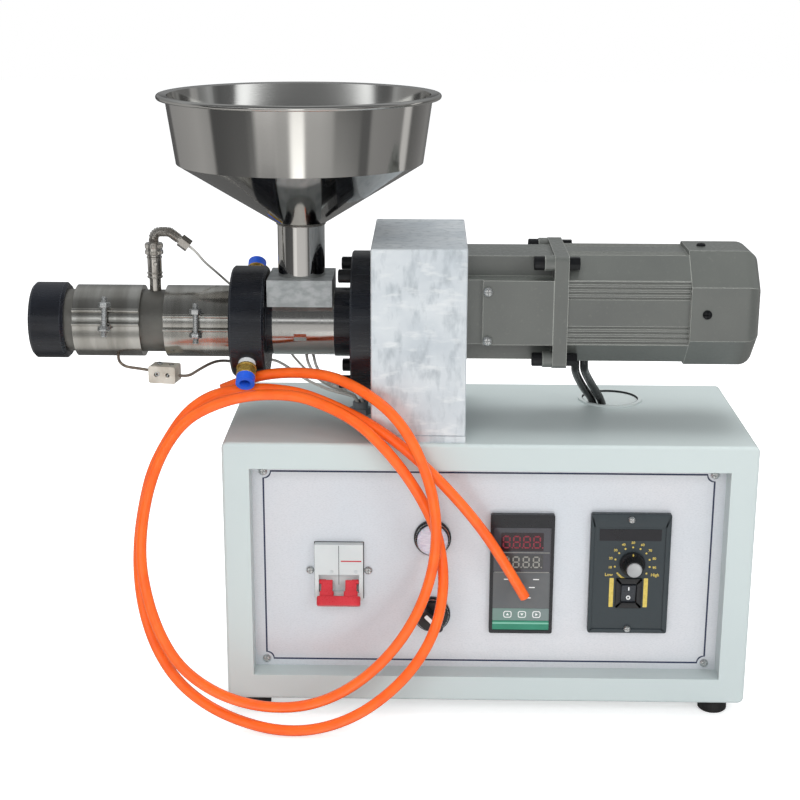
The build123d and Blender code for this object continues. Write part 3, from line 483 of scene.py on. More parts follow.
lead_curve.dimensions = "3D"
lead_curve.bevel_depth = LEAD_RADIUS * MM
lead_curve.bevel_resolution = 5
lead_curve.use_fill_caps = True
for route in (
    ((-28.2, -63, 0), (-28.2, -63, -8), (-26.2, -52, -15.5), (-21.7, -38, -25),
     (-15.7, -26, -36), (-9.2, -16, -47), (-6.1, -11.5, -57), (-5.2, -10, -70)),
    ((-34.8, -63, 0), (-34.8, -63, -8), (-33.3, -52, -16), (-29.2, -38, -25.5),
     (-23.2, -25, -37), (-15.8, -13, -47.5), (-13.0, -9.5, -57.5), (-12.3, -8.5, -70)),
):
    line = lead_curve.splines.new("NURBS")
    line.points.add(len(route) - 1)
    for point, (x, y, z) in zip(line.points, route):
        point.co = ((hole_x + x) * MM, (hole_y + y) * MM, (motor_under + z) * MM, 1)
    line.order_u = 3
    line.use_endpoint_u = True
lead_curve.materials.append(cable_sheath)
motor_leads = bpy.data.objects.new("motor_leads", lead_curve)
bpy.context.scene.collection.objects.link(motor_leads)
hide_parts("motor_cable")
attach(motor_leads, "root")

# Control panel: a satin silver plate behind the frame, with a fine printed border and a domed
# screw in each corner.
panel_silver = finish("panel_silver", srgb(214, 219, 225), 0.36, 0.35)
texture(panel_silver, 9, second=srgb(221, 221, 225), spread=(0.35, 0.65))
texture(panel_silver, 600, stretch=(1, 1, 3), second=srgb(198, 202, 207), spread=(0.46, 0.95), detail=8)
texture(panel_silver, 90, stretch=(1, 1, 22), height=0.015, roughness=(0.30, 0.44))
dress(panel_silver, "control_panel")
panel_low, panel_high = box("control_panel")
panel_y = panel_low.y


def prism(shape, outline, y_back, y_front):
    """Adds a plate of an (x, z) outline between two depths."""
    back = [shape.verts.new((x, y_back, z)) for x, z in outline]
    front = [shape.verts.new((x, y_front, z)) for x, z in outline]
    shape.faces.new(back)
    shape.faces.new(list(reversed(front)))
    for i in range(len(outline)):
        j = (i + 1) % len(outline)
        shape.faces.new((back[j], back[i], front[i], front[j]))


def rounded(x, z, width, height, radius, steps=5):
    """Outline of a rectangle with round corners about (x, z)."""
    points = []
    for quarter, (sx, sz) in enumerate(((1, 1), (-1, 1), (-1, -1), (1, -1))):
        for step in range(steps + 1):
            angle = math.pi / 2 * (quarter + step / steps)
            points.append((x + sx * (width / 2 - radius) + radius * math.cos(angle),
                           z + sz * (height / 2 - radius) + radius * math.sin(angle)))
    return points


def framed(shape, outer, inner, y_back, y_front):
    """Adds the band between two (x, z) outlines of as many points each."""
    rings = [[shape.verts.new((x, y, z)) for x, z in outline]
             for y, outline in ((y_back, outer), (y_front, outer), (y_front, inner), (y_back, inner))]
    for one, other in zip(rings, rings[1:] + rings[:1]):
        for i in range(len(one)):
            j = (i + 1) % len(one)
            shape.faces.new((one[i], one[j], other[j], other[i]))


def notched(left, right, low, high, notch, steps=8):
    """Outline of a rectangle whose corners are hollow quarter circles."""
    points = []
    for x, z, start in ((right, high, 270), (left, high, 0), (left, low, 90), (right, low, 180)):
        for step in range(steps + 1):
            angle = math.radians(start - 90 * step / steps)
            points.append((x + notch * math.cos(angle), z + notch * math.sin(angle)))
    return points


def pan_head(radius, height):
    """Profile of a domed screw head, from its seat to its middle."""
    steps = ((1, 0), (1, 0.35), (0.93, 0.65), (0.78, 0.86), (0.58, 0.97), (0.3, 1), (0, 1))
    return [(radius * out, height * up) for out, up in steps]


zinc_screw = finish("zinc_screw", srgb(206, 208, 208), 0.24, 0.9)
texture(zinc_screw, 700, height=0.02, roughness=(0.18, 0.34))
SCREW_FROM_SIDE, SCREW_FROM_FOOT, SCREW_FROM_TOP = 10.5, 7.5, 9.4
CORNER_HEAD = pan_head(3.2, 2.2)
screw_left, screw_right = panel_low.x + SCREW_FROM_SIDE, panel_high.x - SCREW_FROM_SIDE
screw_low, screw_high = panel_low.z + SCREW_FROM_FOOT, panel_high.z - SCREW_FROM_TOP
corner_screws = bmesh.new()
for side in (screw_left, screw_right):
    for level in (screw_low, screw_high):
        turned(corner_screws, CORNER_HEAD, (side, panel_y, level), (0, -1, 0), cross=0.5)
mesh_piece("panel_corner_screws", corner_screws, zinc_screw)
border_ink = finish("border_ink", srgb(38, 46, 74), 0.5)
texture(border_ink, 500, second=srgb(46, 54, 84), roughness=(0.4, 0.6))
BORDER_WIDTH, BORDER_NOTCH = 1.3, 5.2
border_outlines = [
    notched(screw_left - out, screw_right + out, screw_low - out, screw_high + out,
            BORDER_NOTCH + max(out, 0))
    for out in (BORDER_WIDTH / 2, -BORDER_WIDTH / 2)
]
border = bmesh.new()
framed(border, *border_outlines, panel_y + 0.05, panel_y - 0.08)
mesh_piece("panel_border", border, border_ink)

# Back panel: six sheet screws of the same kind hold it, three along its top and three along its
# foot, since the side isn't seen in the photo.
back_low, back_high = box("back_panel")
BACK_SCREW_INSET = 9
back_screws = bmesh.new()
for side in (back_low.x + BACK_SCREW_INSET, (back_low.x + back_high.x) / 2, back_high.x - BACK_SCREW_INSET):
    for level in (back_low.z + BACK_SCREW_INSET, back_high.z - BACK_SCREW_INSET):
        turned(back_screws, CORNER_HEAD, (side, back_high.y, level), (0, 1, 0), cross=0.5)
mesh_piece("back_panel_screws", back_screws, zinc_screw)

# Twin breaker: a pale grey moulded nose in a cut-out of the panel, with two red levers joined by
# a thick bar, a parting line between its poles and a screw at each side. The gap round the nose and
# the parting line are dark grey bands of painted shade.
pale_moulding = finish("pale_moulding", srgb(206, 211, 211), 0.36)
texture(pale_moulding, 40, second=srgb(198, 204, 204), spread=(0.35, 0.7))
texture(pale_moulding, 1200, height=0.015, roughness=(0.35, 0.5))
dress(pale_moulding, "breaker")
breaker_low, breaker_high = box("breaker")
breaker_x = (breaker_low.x + breaker_high.x) / 2
breaker_z = (breaker_low.z + breaker_high.z) / 2
BREAKER_SCREW_REACH, POLE_REACH = 22.1, 9.1
breaker_screws = bmesh.new()
for side in (-1, 1):
    turned(breaker_screws, pan_head(3.1, 2.0),
           (breaker_x + side * BREAKER_SCREW_REACH, panel_y, breaker_z), (0, -1, 0), cross=0.5)
mesh_piece("breaker_screws", breaker_screws, zinc_screw)
# Dark grey bands of painted shade: one in the gap round the breaker's nose, one on its parting line.
gap_shade_grey = finish("gap_shade_grey", srgb(64, 68, 70), 0.8)
texture(gap_shade_grey, 600, height=0.03)
NOSE_WIDTH, NOSE_HEIGHT, CUT_OUT_GAP = 36.5, 45.0, 0.6
nose_shade_band = bmesh.new()
framed(nose_shade_band,
       rounded(breaker_x, breaker_z, NOSE_WIDTH + 2 * CUT_OUT_GAP, NOSE_HEIGHT + 2 * CUT_OUT_GAP, 0.5, 2),
       rounded(breaker_x, breaker_z, NOSE_WIDTH, NOSE_HEIGHT, 0.3, 2), panel_y + 0.05, panel_y - 0.1)
prism(nose_shade_band, rounded(breaker_x, breaker_z + 6.2, 0.45, 31.5, 0.2, 2),
      breaker_low.y + 0.1, breaker_low.y - 0.05)
mesh_piece("breaker_gap_shade", nose_shade_band, gap_shade_grey)
red_print = finish("red_print", srgb(190, 56, 66), 0.45)
texture(red_print, 500, roughness=(0.4, 0.55))
pole_marks = bmesh.new()
prism(pole_marks, rounded(breaker_x + 9.3, breaker_z + 9.4, 15.5, 1.0, 0.2, 2),
      breaker_low.y + 0.1, breaker_low.y - 0.06)
mesh_piece("breaker_marks", pole_marks, red_print)
pole_shade = finish("pole_shade", srgb(190, 196, 197), 0.5)
texture(pole_shade, 500, roughness=(0.45, 0.6))
pole_rims = bmesh.new()
for pole in (-1, 1):
    turned(pole_rims, ((1.5, 0), (1.5, 0.2), (1.0, 0.05), (0, 0.05)),
           (breaker_x + pole * POLE_REACH + 3.6, breaker_low.y, breaker_z + 1.0), (0, -1, 0), 20)
mesh_piece("breaker_test_holes", pole_rims, pole_shade)

# Breaker levers: red moulded arms that droop from their pin when the breaker is off, with a round
# bar across both ends and a step where each arm leaves the nose.
red_moulding = finish("red_moulding", srgb(206, 52, 62), 0.3, Specular_IOR_Level=0.55)
texture(red_moulding, 45, second=srgb(190, 42, 52), spread=(0.35, 0.7))
texture(red_moulding, 1100, height=0.02, roughness=(0.25, 0.4))
LEVER_DROOP = math.radians(58)
LEVER_PIVOT = (breaker_x, breaker_low.y + 2, 104)
BAR_BACK, BAR_FRONT = -11.2, -18.6


def soften(shape, depths, width, segments):
    """Rounds off the edges whose ends lie at these depths."""
    rims = [edge for edge in shape.edges if len(edge.link_faces) == 2
            and all(any(abs(vert.co.y - depth) < 0.001 for depth in depths) for vert in edge.verts)]
    bmesh.ops.bevel(shape, geom=rims, offset=width, segments=segments, profile=0.6, affect="EDGES")


levers = bmesh.new()
for side in (-1, 1):
    arm_x = side * POLE_REACH
    prism(levers, rounded(arm_x, 0, 8.6, 3.8, 0.8, 3), 1, -8.5)
    prism(levers, rounded(arm_x, 0.3, 10.6, 5.0, 1.4, 3), -7.6, -12.4)
    turned(levers, ((1.8, 0), (1.8, 5.0), (0, 5.0)), (side * 9.9, 0, 0), (side, 0, 0), 20)
prism(levers, rounded(0, 0.3, 32.8, 7.2, 2.6, 5), BAR_BACK, BAR_FRONT)
bmesh.ops.remove_doubles(levers, verts=levers.verts, dist=0.0001)
soften(levers, (BAR_BACK, BAR_FRONT), 1.3, 4)
bmesh.ops.rotate(levers, verts=levers.verts, cent=(0, 0, 0), matrix=Matrix.Rotation(LEVER_DROOP, 3, "X"))
bmesh.ops.translate(levers, verts=levers.verts, vec=LEVER_PIVOT)
lever_piece = mesh_piece("breaker_levers", levers, red_moulding, "lever")
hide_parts("breaker_lever")

# Pilot lamp and selector: black turned bezels with a fine bright trim ring; the lamp has a frosted
# lilac lens with a hatched filter in it, the selector a black handle with a white pointer.
black_moulding = finish("black_moulding", srgb(24, 25, 28), 0.32, Specular_IOR_Level=0.55)
texture(black_moulding, 700, height=0.03, roughness=(0.26, 0.42))
dress(black_moulding, "round_bezels", "selector_knob")
frosted_lens = finish("frosted_lens", srgb(196, 194, 208), 0.3, Subsurface_Weight=0.15,
                      Subsurface_Scale=0.004)
texture(frosted_lens, 220, stretch=(1, 1, 5), second=srgb(216, 214, 224), spread=(0.42, 0.6))
texture(frosted_lens, 300, height=0.06, roughness=(0.2, 0.4))
dress(frosted_lens, "lamp_lens")
lens_low, lens_high = box("lamp_lens")
bezel_y = box("round_bezels")[0].y
lamp_x, lamp_z = (lens_low.x + lens_high.x) / 2, (lens_low.z + lens_high.z) / 2
knob_low, knob_high = box("selector_knob")
knob_x, knob_z = (knob_low.x + knob_high.x) / 2, (knob_low.z + knob_high.z) / 2
LENS_HOLE_RADIUS = 12.0
trim_rings = bmesh.new()
for middle in (lamp_z, knob_z):
    turned(trim_rings, ((12.9, -0.4), (12.9, 0.35), (12.5, 0.6), (LENS_HOLE_RADIUS, 0.35),
                        (LENS_HOLE_RADIUS, -0.4)), (lamp_x, bezel_y, middle), (0, -1, 0), 64)
mesh_piece("bezel_trim_rings", trim_rings, zinc_screw)
lens_seat = bmesh.new()
turned(lens_seat, ((LENS_HOLE_RADIUS, -0.2), (LENS_HOLE_RADIUS, 1.6), (11.4, 2.0), (11.4, -0.2)),
       (lamp_x, bezel_y, lamp_z), (0, -1, 0), 64)
mesh_piece("lamp_lens_seat", lens_seat, black_moulding)
white_paint = finish("white_paint", srgb(232, 233, 232), 0.4)
texture(white_paint, 600, roughness=(0.35, 0.5))
pointer = bmesh.new()
prism(pointer, rounded(0, 0, 14, 3.0, 0.8, 3), 0, -0.5)
POINTER_TURN = Matrix.Rotation(math.radians(45), 3, "Y")
bmesh.ops.rotate(pointer, verts=pointer.verts, cent=(0, 0, 0), matrix=POINTER_TURN)
bmesh.ops.translate(pointer, verts=pointer.verts, vec=(knob_x, knob_low.y + 0.1, knob_z))
mesh_piece("selector_pointer", pointer, white_paint, "selector")

# Temperature controller: a black moulded case with a glossy band above its smoked window, which
# has two rows of unlit digits; under it, grey key film, a green film with three keys and a strip.
case_black = finish("controller_case", srgb(30, 31, 35), 0.32)
texture(case_black, 900, height=0.02, roughness=(0.26, 0.4))
dress(case_black, "controller")
unit_low, unit_high = box("controller")
unit_x = (unit_low.x + unit_high.x) / 2
unit_top = unit_high.z
face_y = unit_low.y + 0.7
FACE_MARGIN = 2.5
face_width = unit_high.x - unit_low.x - 2 * FACE_MARGIN


def film(name, material, top, bottom, left=0.0, right=1.0, proud=0.25):
    """Rounded strip on the controller's face, from one height under its top to another."""
    strip = bmesh.new()
    middle, height = unit_top - (top + bottom) / 2, bottom - top
    x = unit_x + face_width * ((left + right) / 2 - 0.5)
    prism(strip, rounded(x, middle, face_width * (right - left), height, 0.5, 3),
          face_y + 0.1, face_y - proud)
    return mesh_piece(name, strip, material)


smoked_window = finish("smoked_window", srgb(58, 59, 65), 0.16, Coat_Weight=0.2, Coat_Roughness=0.1)
texture(smoked_window, 30, second=srgb(66, 66, 72), roughness=(0.14, 0.22))
dark_window = finish("dark_window", srgb(36, 22, 27), 0.2)
texture(dark_window, 60, second=srgb(44, 28, 33), roughness=(0.16, 0.26))
grey_window = finish("grey_window", srgb(60, 61, 62), 0.22)
texture(grey_window, 60, second=srgb(68, 68, 68), roughness=(0.18, 0.28))
key_film = finish("key_film", srgb(92, 95, 97), 0.4)
texture(key_film, 50, second=srgb(102, 104, 105), roughness=(0.35, 0.5))
green_film = finish("green_film", srgb(44, 126, 100), 0.4)
texture(green_film, 50, second=srgb(52, 136, 110), roughness=(0.35, 0.5))
pale_film = finish("pale_film", srgb(98, 146, 130), 0.45)
texture(pale_film, 26, stretch=(1, 0.2, 0.2), second=srgb(120, 134, 132), spread=(0.4, 0.6),
        roughness=(0.4, 0.5))
mint_film = finish("mint_film", srgb(128, 190, 168), 0.45)
texture(mint_film, 50, second=srgb(118, 180, 158), roughness=(0.4, 0.5))
film("controller_band", case_black, 1.2, 10.2, -0.03, 1.03, 0.8)
film("controller_window", smoked_window, 10.6, 46)
film("controller_measured_field", dark_window, 14.5, 29, 0.13, 0.87, 0.35)
film("controller_wanted_field", grey_window, 32, 44, 0.13, 0.87, 0.35)
film("controller_keys", key_film, 46.4, 75.5)
film("controller_key_band", pale_film, 75.7, 85.6)
film("controller_strip", green_film, 85.8, 93.2)
film("controller_strip_line", mint_film, 87.2, 88.5, 0.0, 1.0, 0.32)


def digit(shape, left, bottom, size, y_front):
    """Adds one unlit seven-bar digit with its point."""
    wide, bar = size * 0.52, size * 0.13
    for along, up, lying in ((0.5, 1, True), (1, 0.75, False), (1, 0.25, False), (0.5, 0, True),
                             (0, 0.25, False), (0, 0.75, False), (0.5, 0.5, True)):
        length = (wide if lying else size / 2) - bar * 0.6
        x, z = left + wide * along, bottom + size * up
        ends = [(-length / 2, 0), (-length / 2 + bar / 2, bar / 2), (length / 2 - bar / 2, bar / 2),
                (length / 2, 0), (length / 2 - bar / 2, -bar / 2), (-length / 2 + bar / 2, -bar / 2)]
        outline = [(x + a, z + b) if lying else (x + b, z + a) for a, b in ends]
        prism(shape, outline, y_front + 0.12, y_front)
    prism(shape, rounded(left + wide * 1.42, bottom, bar, bar, bar * 0.4, 2), y_front + 0.12, y_front)


window_y = face_y - 0.35
red_digits = finish("red_digits", srgb(138, 44, 60), 0.4)
texture(red_digits, 800, second=srgb(124, 38, 54))
grey_digits = finish("grey_digits", srgb(142, 142, 136), 0.4)
texture(grey_digits, 800, second=srgb(156, 155, 148))
FIRST_DIGIT, DIGIT_STEP = -14.2, 7.6
measured, wanted = bmesh.new(), bmesh.new()
for place in range(4):
    left = unit_x + FIRST_DIGIT + DIGIT_STEP * place
    digit(measured, left, unit_top - 26.4, 9, window_y - 0.1)
    digit(wanted, left, unit_top - 42.1, 8.2, window_y - 0.1)
mesh_piece("controller_measured", measured, red_digits)
mesh_piece("controller_wanted", wanted, grey_digits)
window_lines = bmesh.new()
for drop in (30.4, 46.2):
    prism(window_lines, rounded(unit_x, unit_top - drop, face_width - 1.6, 0.5, 0.2, 2),
          face_y, face_y - 0.42)
mesh_piece("controller_lines", window_lines, grey_digits)
KEY_STEP, KEY_OFFSET = 11, 1.0
key_z = unit_top - 80.6
keys = bmesh.new()
for column, arrow in ((-1, ((-1.2, -0.8), (1.2, -0.8), (0, 1.1))), (0, ((-1.2, 0.8), (0, -1.1), (1.2, 0.8))),
                      (1, ((-0.8, -1.2), (1.1, 0), (-0.8, 1.2)))):
    key_x = unit_x + KEY_OFFSET + KEY_STEP * column
    framed(keys, rounded(key_x, key_z, 6.2, 5.4, 1.6, 4), rounded(key_x, key_z, 5.0, 4.2, 1.2, 4),
           face_y, face_y - 0.35)
    prism(keys, [(key_x + x, key_z + z) for x, z in arrow], face_y, face_y - 0.35)
for row, column in ((52, -11), (52, 11), (58.5, 8), (67, 5)):
    prism(keys, rounded(unit_x + column, unit_top - row, 4.6, 0.8, 0.3, 2), face_y, face_y - 0.3)
mesh_piece("controller_key_marks", keys, white_paint)

# Speed controller: a dark moulded unit whose face lies in a low frame, with a small window, a dial
# printed in gold round its knob, a rocker switch between two gold bars, and two screws.
unit_grey = finish("speed_case", srgb(50, 58, 62), 0.4)
texture(unit_grey, 900, height=0.03, roughness=(0.34, 0.48))
dress(unit_grey, "speed_bezel")
speed_low, speed_high = box("speed_bezel")
speed_x = (speed_low.x + speed_high.x) / 2
speed_z = (speed_low.z + speed_high.z) / 2
speed_y = speed_low.y
speed_rim = bmesh.new()
framed(speed_rim, rounded(speed_x, speed_z, 59.6, 95.6, 1.4, 3),
       rounded(speed_x - 0.6, speed_z - 3.4, 53.4, 82.4, 0.6, 3), speed_y + 0.1, speed_y - 0.9)
soften(speed_rim, (speed_y - 0.9,), 0.35, 2)
mesh_piece("speed_frame", speed_rim, unit_grey)
speed_screws = bmesh.new()
for level in (speed_high.z - 4.2, speed_low.z + 3.8):
    turned(speed_screws, pan_head(2.7, 2.1), (speed_x, speed_y - 0.6, level), (0, -1, 0), cross=0.4)
mesh_piece("speed_screws", speed_screws, zinc_screw)
black_window = finish("black_window", srgb(20, 20, 26), 0.3)
texture(black_window, 60, second=srgb(28, 28, 34), roughness=(0.24, 0.36))
speed_window = bmesh.new()
prism(speed_window, rounded(speed_x - 0.3, speed_high.z - 16.6, 46.3, 9.2, 0.5, 3),
      speed_y + 0.1, speed_y - 0.25)
mesh_piece("speed_window", speed_window, black_window)
gold_print = finish("gold_print", srgb(214, 190, 96), 0.45)
texture(gold_print, 500, second=srgb(200, 176, 82), roughness=(0.4, 0.55))
dial_low, dial_high = box("speed_knob")
dial_x, dial_z = (dial_low.x + dial_high.x) / 2, (dial_low.z + dial_high.z) / 2
DIAL_START, DIAL_STEP = 215, 25


def on_dial(reach, degrees):
    """The (x, z) place at this distance and turn from the speed knob's middle."""
    angle = math.radians(degrees)
    return dial_x + reach * math.cos(angle), dial_z + reach * math.sin(angle)


dial = bmesh.new()
for mark in range(11):
    x, z = on_dial(13.3, DIAL_START - DIAL_STEP * mark)
    turned(dial, ((0.75, -0.1), (0.75, 0.08), (0, 0.08)), (x, speed_y, z), (0, -1, 0), 12)
for step in range(6):
    prism(dial, rounded(*on_dial(13.2, 222 + 6 * step), 1.7, 1.4, 0.5, 3), speed_y + 0.1, speed_y - 0.08)
for side in (-1, 1):
    prism(dial, rounded(speed_x + (side * 12.9 - 0.2), speed_low.z + 33, 3.2, 23.5, 0.4, 3),
          speed_y + 0.1, speed_y - 0.15)
mesh_piece("speed_dial_marks", dial, gold_print)
PRINT_THICKNESS = 0.06
dial_words = [(str(10 * mark), 16.9, DIAL_START - DIAL_STEP * mark, 2.7) for mark in range(1, 10)]
dial_words += [("Low", 19.5, 207, 3.4), ("High", 19.5, -27, 3.4)]
for body, reach, turn, size in dial_words:
    figure = bpy.data.curves.new(f"dial_{body}", "FONT")
    figure.body = body
    figure.size = size * MM
    figure.align_x, figure.align_y = "CENTER", "CENTER"
    figure.extrude = figure.offset = PRINT_THICKNESS * MM
    figure.materials.append(gold_print)
    number = bpy.data.objects.new(f"dial_{body}", figure)
    bpy.context.scene.collection.objects.link(number)
    x, z = on_dial(reach, turn)
    place = Vector((x, speed_y - 0.05, z)) * MM
    number.matrix_world = Matrix.Translation(place) @ Matrix.Rotation(math.radians(90), 4, "X")
    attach(number, "root")

# Speed knob: a black fluted moulding that narrows towards the user, with a satin aluminium cap in
# its front and a notch that points to the number.
satin_cap = finish("satin_cap", srgb(188, 190, 192), 0.34, 0.7)
texture(satin_cap, 500, height=0.02, roughness=(0.28, 0.42))
knob_base_y = dial_high.y
knob_body = bmesh.new()
FLUTES = 24
AROUND = FLUTES * 4
rings = []
for radius, rise, flute in ((9.6, 0, 0), (9.6, 1.6, 0), (8.9, 2.2, 0), (8.0, 2.6, 0), (7.8, 3.0, 0.5),
                            (6.9, 11.4, 0.4), (6.5, 12.0, 0.1), (5.9, 12.2, 0)):
    ring = []
    for k in range(AROUND):
        angle = 2 * math.pi * k / AROUND
        reach = radius - flute * (0.5 + 0.5 * math.cos(angle * FLUTES))
        ring.append(knob_body.verts.new((dial_x + reach * math.cos(angle), knob_base_y - rise,
                                         dial_z + reach * math.sin(angle))))
    rings.append(ring)
for lower, upper in zip(rings, rings[1:]):
    for k in range(AROUND):
        n = (k + 1) % AROUND
        knob_body.faces.new((lower[k], lower[n], upper[n], upper[k]))
knob_body.faces.new(rings[0])
knob_body.faces.new(rings[-1])
knob_piece = mesh_piece("speed_knob_body", knob_body, black_moulding, "speed")
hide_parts("speed_knob")
cap = bmesh.new()
CAP_RADIUS = 5.7
turned(cap, ((CAP_RADIUS, -1), (CAP_RADIUS, 0.6), (CAP_RADIUS - 0.4, 0.95),
             (CAP_RADIUS * 0.8, 0.8), (0, 0.75)), (dial_x, knob_base_y - 12.0, dial_z), (0, -1, 0), 48)
mesh_piece("speed_knob_cap", cap, satin_cap, "speed")
notch = bmesh.new()
prism(notch, rounded(dial_x, dial_z + 7.6, 1.0, 2.6, 0.4, 3), knob_base_y - 1, knob_base_y - 3.2)
mesh_piece("speed_knob_pointer", notch, gold_print, "speed")

# Power rocker: a black rocker with a moulded I and O, tipped in a square-cornered black frame that
# is snapped into the speed controller.
rocker_low, rocker_high = box("rocker")
rocker_x, rocker_z = (rocker_low.x + rocker_high.x) / 2, (rocker_low.z + rocker_high.z) / 2
rocker_frame = bmesh.new()
framed(rocker_frame, rounded(rocker_x, rocker_z, 20.0, 24.2, 1.0, 4),
       rounded(rocker_x, rocker_z, 11.6, 15.0, 0.5, 4), speed_y + 3, speed_y - 1.1)
soften(rocker_frame, (speed_y - 1.1,), 0.5, 3)
mesh_piece("rocker_frame", rocker_frame, black_moulding)
rocker_black = finish("rocker_black", srgb(44, 48, 54), 0.3, Specular_IOR_Level=0.5)
texture(rocker_black, 900, height=0.02, roughness=(0.24, 0.38))
ROCKER_TILT = math.radians(8)
rocker_pivot = Vector((rocker_x, speed_y + 0.9, rocker_z))
rocker_body = bmesh.new()
ROCKER_HALF_LENGTH, ROCKER_HALF_WIDTH = 7.0, 5.4
profile = [(ROCKER_HALF_LENGTH, 2.6), (ROCKER_HALF_LENGTH, -1.5)]
for k in range(1, 15):
    angle = math.radians(12 * k)
    profile.append((ROCKER_HALF_LENGTH * math.cos(angle), -1.5 + 0.9 * math.sin(angle)))
profile += [(-ROCKER_HALF_LENGTH, -1.5), (-ROCKER_HALF_LENGTH, 2.6)]
sides = [[rocker_body.verts.new((side * ROCKER_HALF_WIDTH, y, z)) for z, y in profile] for side in (-1, 1)]
rocker_body.faces.new(sides[0])
rocker_body.faces.new(list(reversed(sides[1])))
for i in range(len(profile)):
    j = (i + 1) % len(profile)
    rocker_body.faces.new((sides[0][j], sides[0][i], sides[1][i], sides[1][j]))
rocker_marks = bmesh.new()
prism(rocker_marks, rounded(0, 3.9, 0.9, 3.0, 0.3, 3), -0.6, -1.35)
framed(rocker_marks, rounded(0, -3.8, 3.2, 3.4, 1.5, 6), rounded(0, -3.8, 1.7, 1.9, 0.8, 6), -0.6, -1.35)
for shape in (rocker_body, rocker_marks):
    bmesh.ops.rotate(shape, verts=shape.verts, cent=(0, 0, 0), matrix=Matrix.Rotation(ROCKER_TILT, 3, "X"))
    bmesh.ops.translate(shape, verts=shape.verts, vec=rocker_pivot)
rocker_piece = mesh_piece("rocker_body", rocker_body, rocker_black, "power")
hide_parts("rocker")
mesh_piece("rocker_marks", rocker_marks, white_paint, "power")

# Thrust block: a milled aluminium block on a base plate, bolted to the cabinet's top; it carries
# the screw's bearings and takes the gearbox on its right side.
milled_aluminium = finish("milled_aluminium", srgb(222, 228, 232), 0.36, 0.5)
texture(milled_aluminium, 26, stretch=(1, 1, 1.3), second=srgb(204, 212, 218), spread=(0.4, 0.7), detail=4)
texture(milled_aluminium, 160, stretch=(1, 1, 0.4), second=srgb(176, 185, 191), spread=(0.5, 0.78),
        detail=12)
texture(milled_aluminium, 190, stretch=(0.35, 1, 1), second=srgb(236, 240, 242), spread=(0.56, 0.8),
        detail=12)
texture(milled_aluminium, 240, stretch=(1, 1, 0.35), roughness=(0.28, 0.5), height=0.03, detail=8)
dress(milled_aluminium, "thrust_block", "base_plate")


def brightened_edges(material, colour, width, start=0.004, end=0.08):
    """Paints another colour along outer edges this many millimetres wide."""
    tree = material.node_tree
    rounded_edge = tree.nodes.new("ShaderNodeBevel")
    rounded_edge.samples = 4
    rounded_edge.inputs["Radius"].default_value = width * MM
    surface = tree.nodes.new("ShaderNodeNewGeometry")
    turn = tree.nodes.new("ShaderNodeVectorMath")
    turn.operation = "DOT_PRODUCT"
    tree.links.new(rounded_edge.outputs["Normal"], turn.inputs[0])
    tree.links.new(surface.outputs["Normal"], turn.inputs[1])
    brightened = tree.nodes.new("ShaderNodeMapRange")
    brightened.inputs["From Min"].default_value = 1 - start
    brightened.inputs["From Max"].default_value = 1 - end
    brightened.inputs["To Max"].default_value = 0.75
    tree.links.new(turn.outputs["Value"], brightened.inputs["Value"])
    over(material, colour, brightened.outputs["Result"])


# The block is painted lighter along its edges.
brightened_edges(milled_aluminium, srgb(238, 241, 243), 0.7)

# Gear motor: cast gearbox, square flange, ribbed housing and fan cover in dull olive-grey paint.
# The long bolts' socket heads sit on cast bosses before the flange, with cap nuts behind it.
motor_paint = finish("motor_paint", srgb(88, 91, 87), 0.34, Specular_IOR_Level=0.9, Coat_Weight=0.5,
                     Coat_Roughness=0.24)
texture(motor_paint, 14, second=srgb(78, 81, 78), spread=(0.35, 0.7))
texture(motor_paint, 420, second=srgb(104, 106, 101), spread=(0.6, 0.85), height=0.06,
        roughness=(0.28, 0.46), detail=8)
# The motor's paint is painted lighter along its edges.
brightened_edges(motor_paint, srgb(178, 180, 173), 0.8)
dress(motor_paint, "gearbox", "motor_flange", "motor_housing", "fan_cover")
black_oxide = finish("black_oxide", srgb(26, 27, 29), 0.34, 0.4)
texture(black_oxide, 300, height=0.04, roughness=(0.26, 0.46))
dress(black_oxide, "gearbox_bolts", "flange_bolts")
gearbox_low = box("gearbox")[0]
cover_low, cover_high = box("fan_cover")
motor_flange_left = box("motor_flange")[0].x
motor_y, motor_z = 0.0, (cover_low.z + cover_high.z) / 2
FLANGE_BOLT_REACH = 36
bosses, boss_heads = bmesh.new(), bmesh.new()
for y_side in (-1, 1):
    for z_side in (-1, 1):
        seat = (motor_flange_left, motor_y + y_side * FLANGE_BOLT_REACH, motor_z + z_side * FLANGE_BOLT_REACH)
        turned(bosses, ((5.9, -0.2), (5.9, 6.8), (5.5, 7.2), (0, 7.2)), seat, (-1, 0, 0), 32)
        turned(boss_heads, ((5.1, 7.1), (5.1, 14.2), (4.6, 14.8), (2.6, 14.8), (2.4, 11.0), (0, 11.0)),
               seat, (-1, 0, 0), 36)
mesh_piece("gearbox_bosses", bosses, motor_paint)
mesh_piece("gearbox_bolt_heads", boss_heads, black_oxide)
plate_screws = bmesh.new()
for level in (325.8, 289.3):
    turned(plate_screws, pan_head(3.6, 3.2), (gearbox_low.x + 15.6, gearbox_low.y, level), (0, -1, 0),
           cross=0.6)
mesh_piece("gearbox_screws", plate_screws, zinc_screw)
cover_screws = bmesh.new()
for aim in ((0, -1, 0), (0, 0, 1), (0, 1, 0), (0, 0, -1)):
    seat = Vector((cover_low.x + 12, motor_y, motor_z)) + Vector(aim) * (cover_high.z - cover_low.z) / 2
    turned(cover_screws, pan_head(3.4, 2.0), seat, aim, cross=0.8)
mesh_piece("fan_cover_screws", cover_screws, black_oxide)

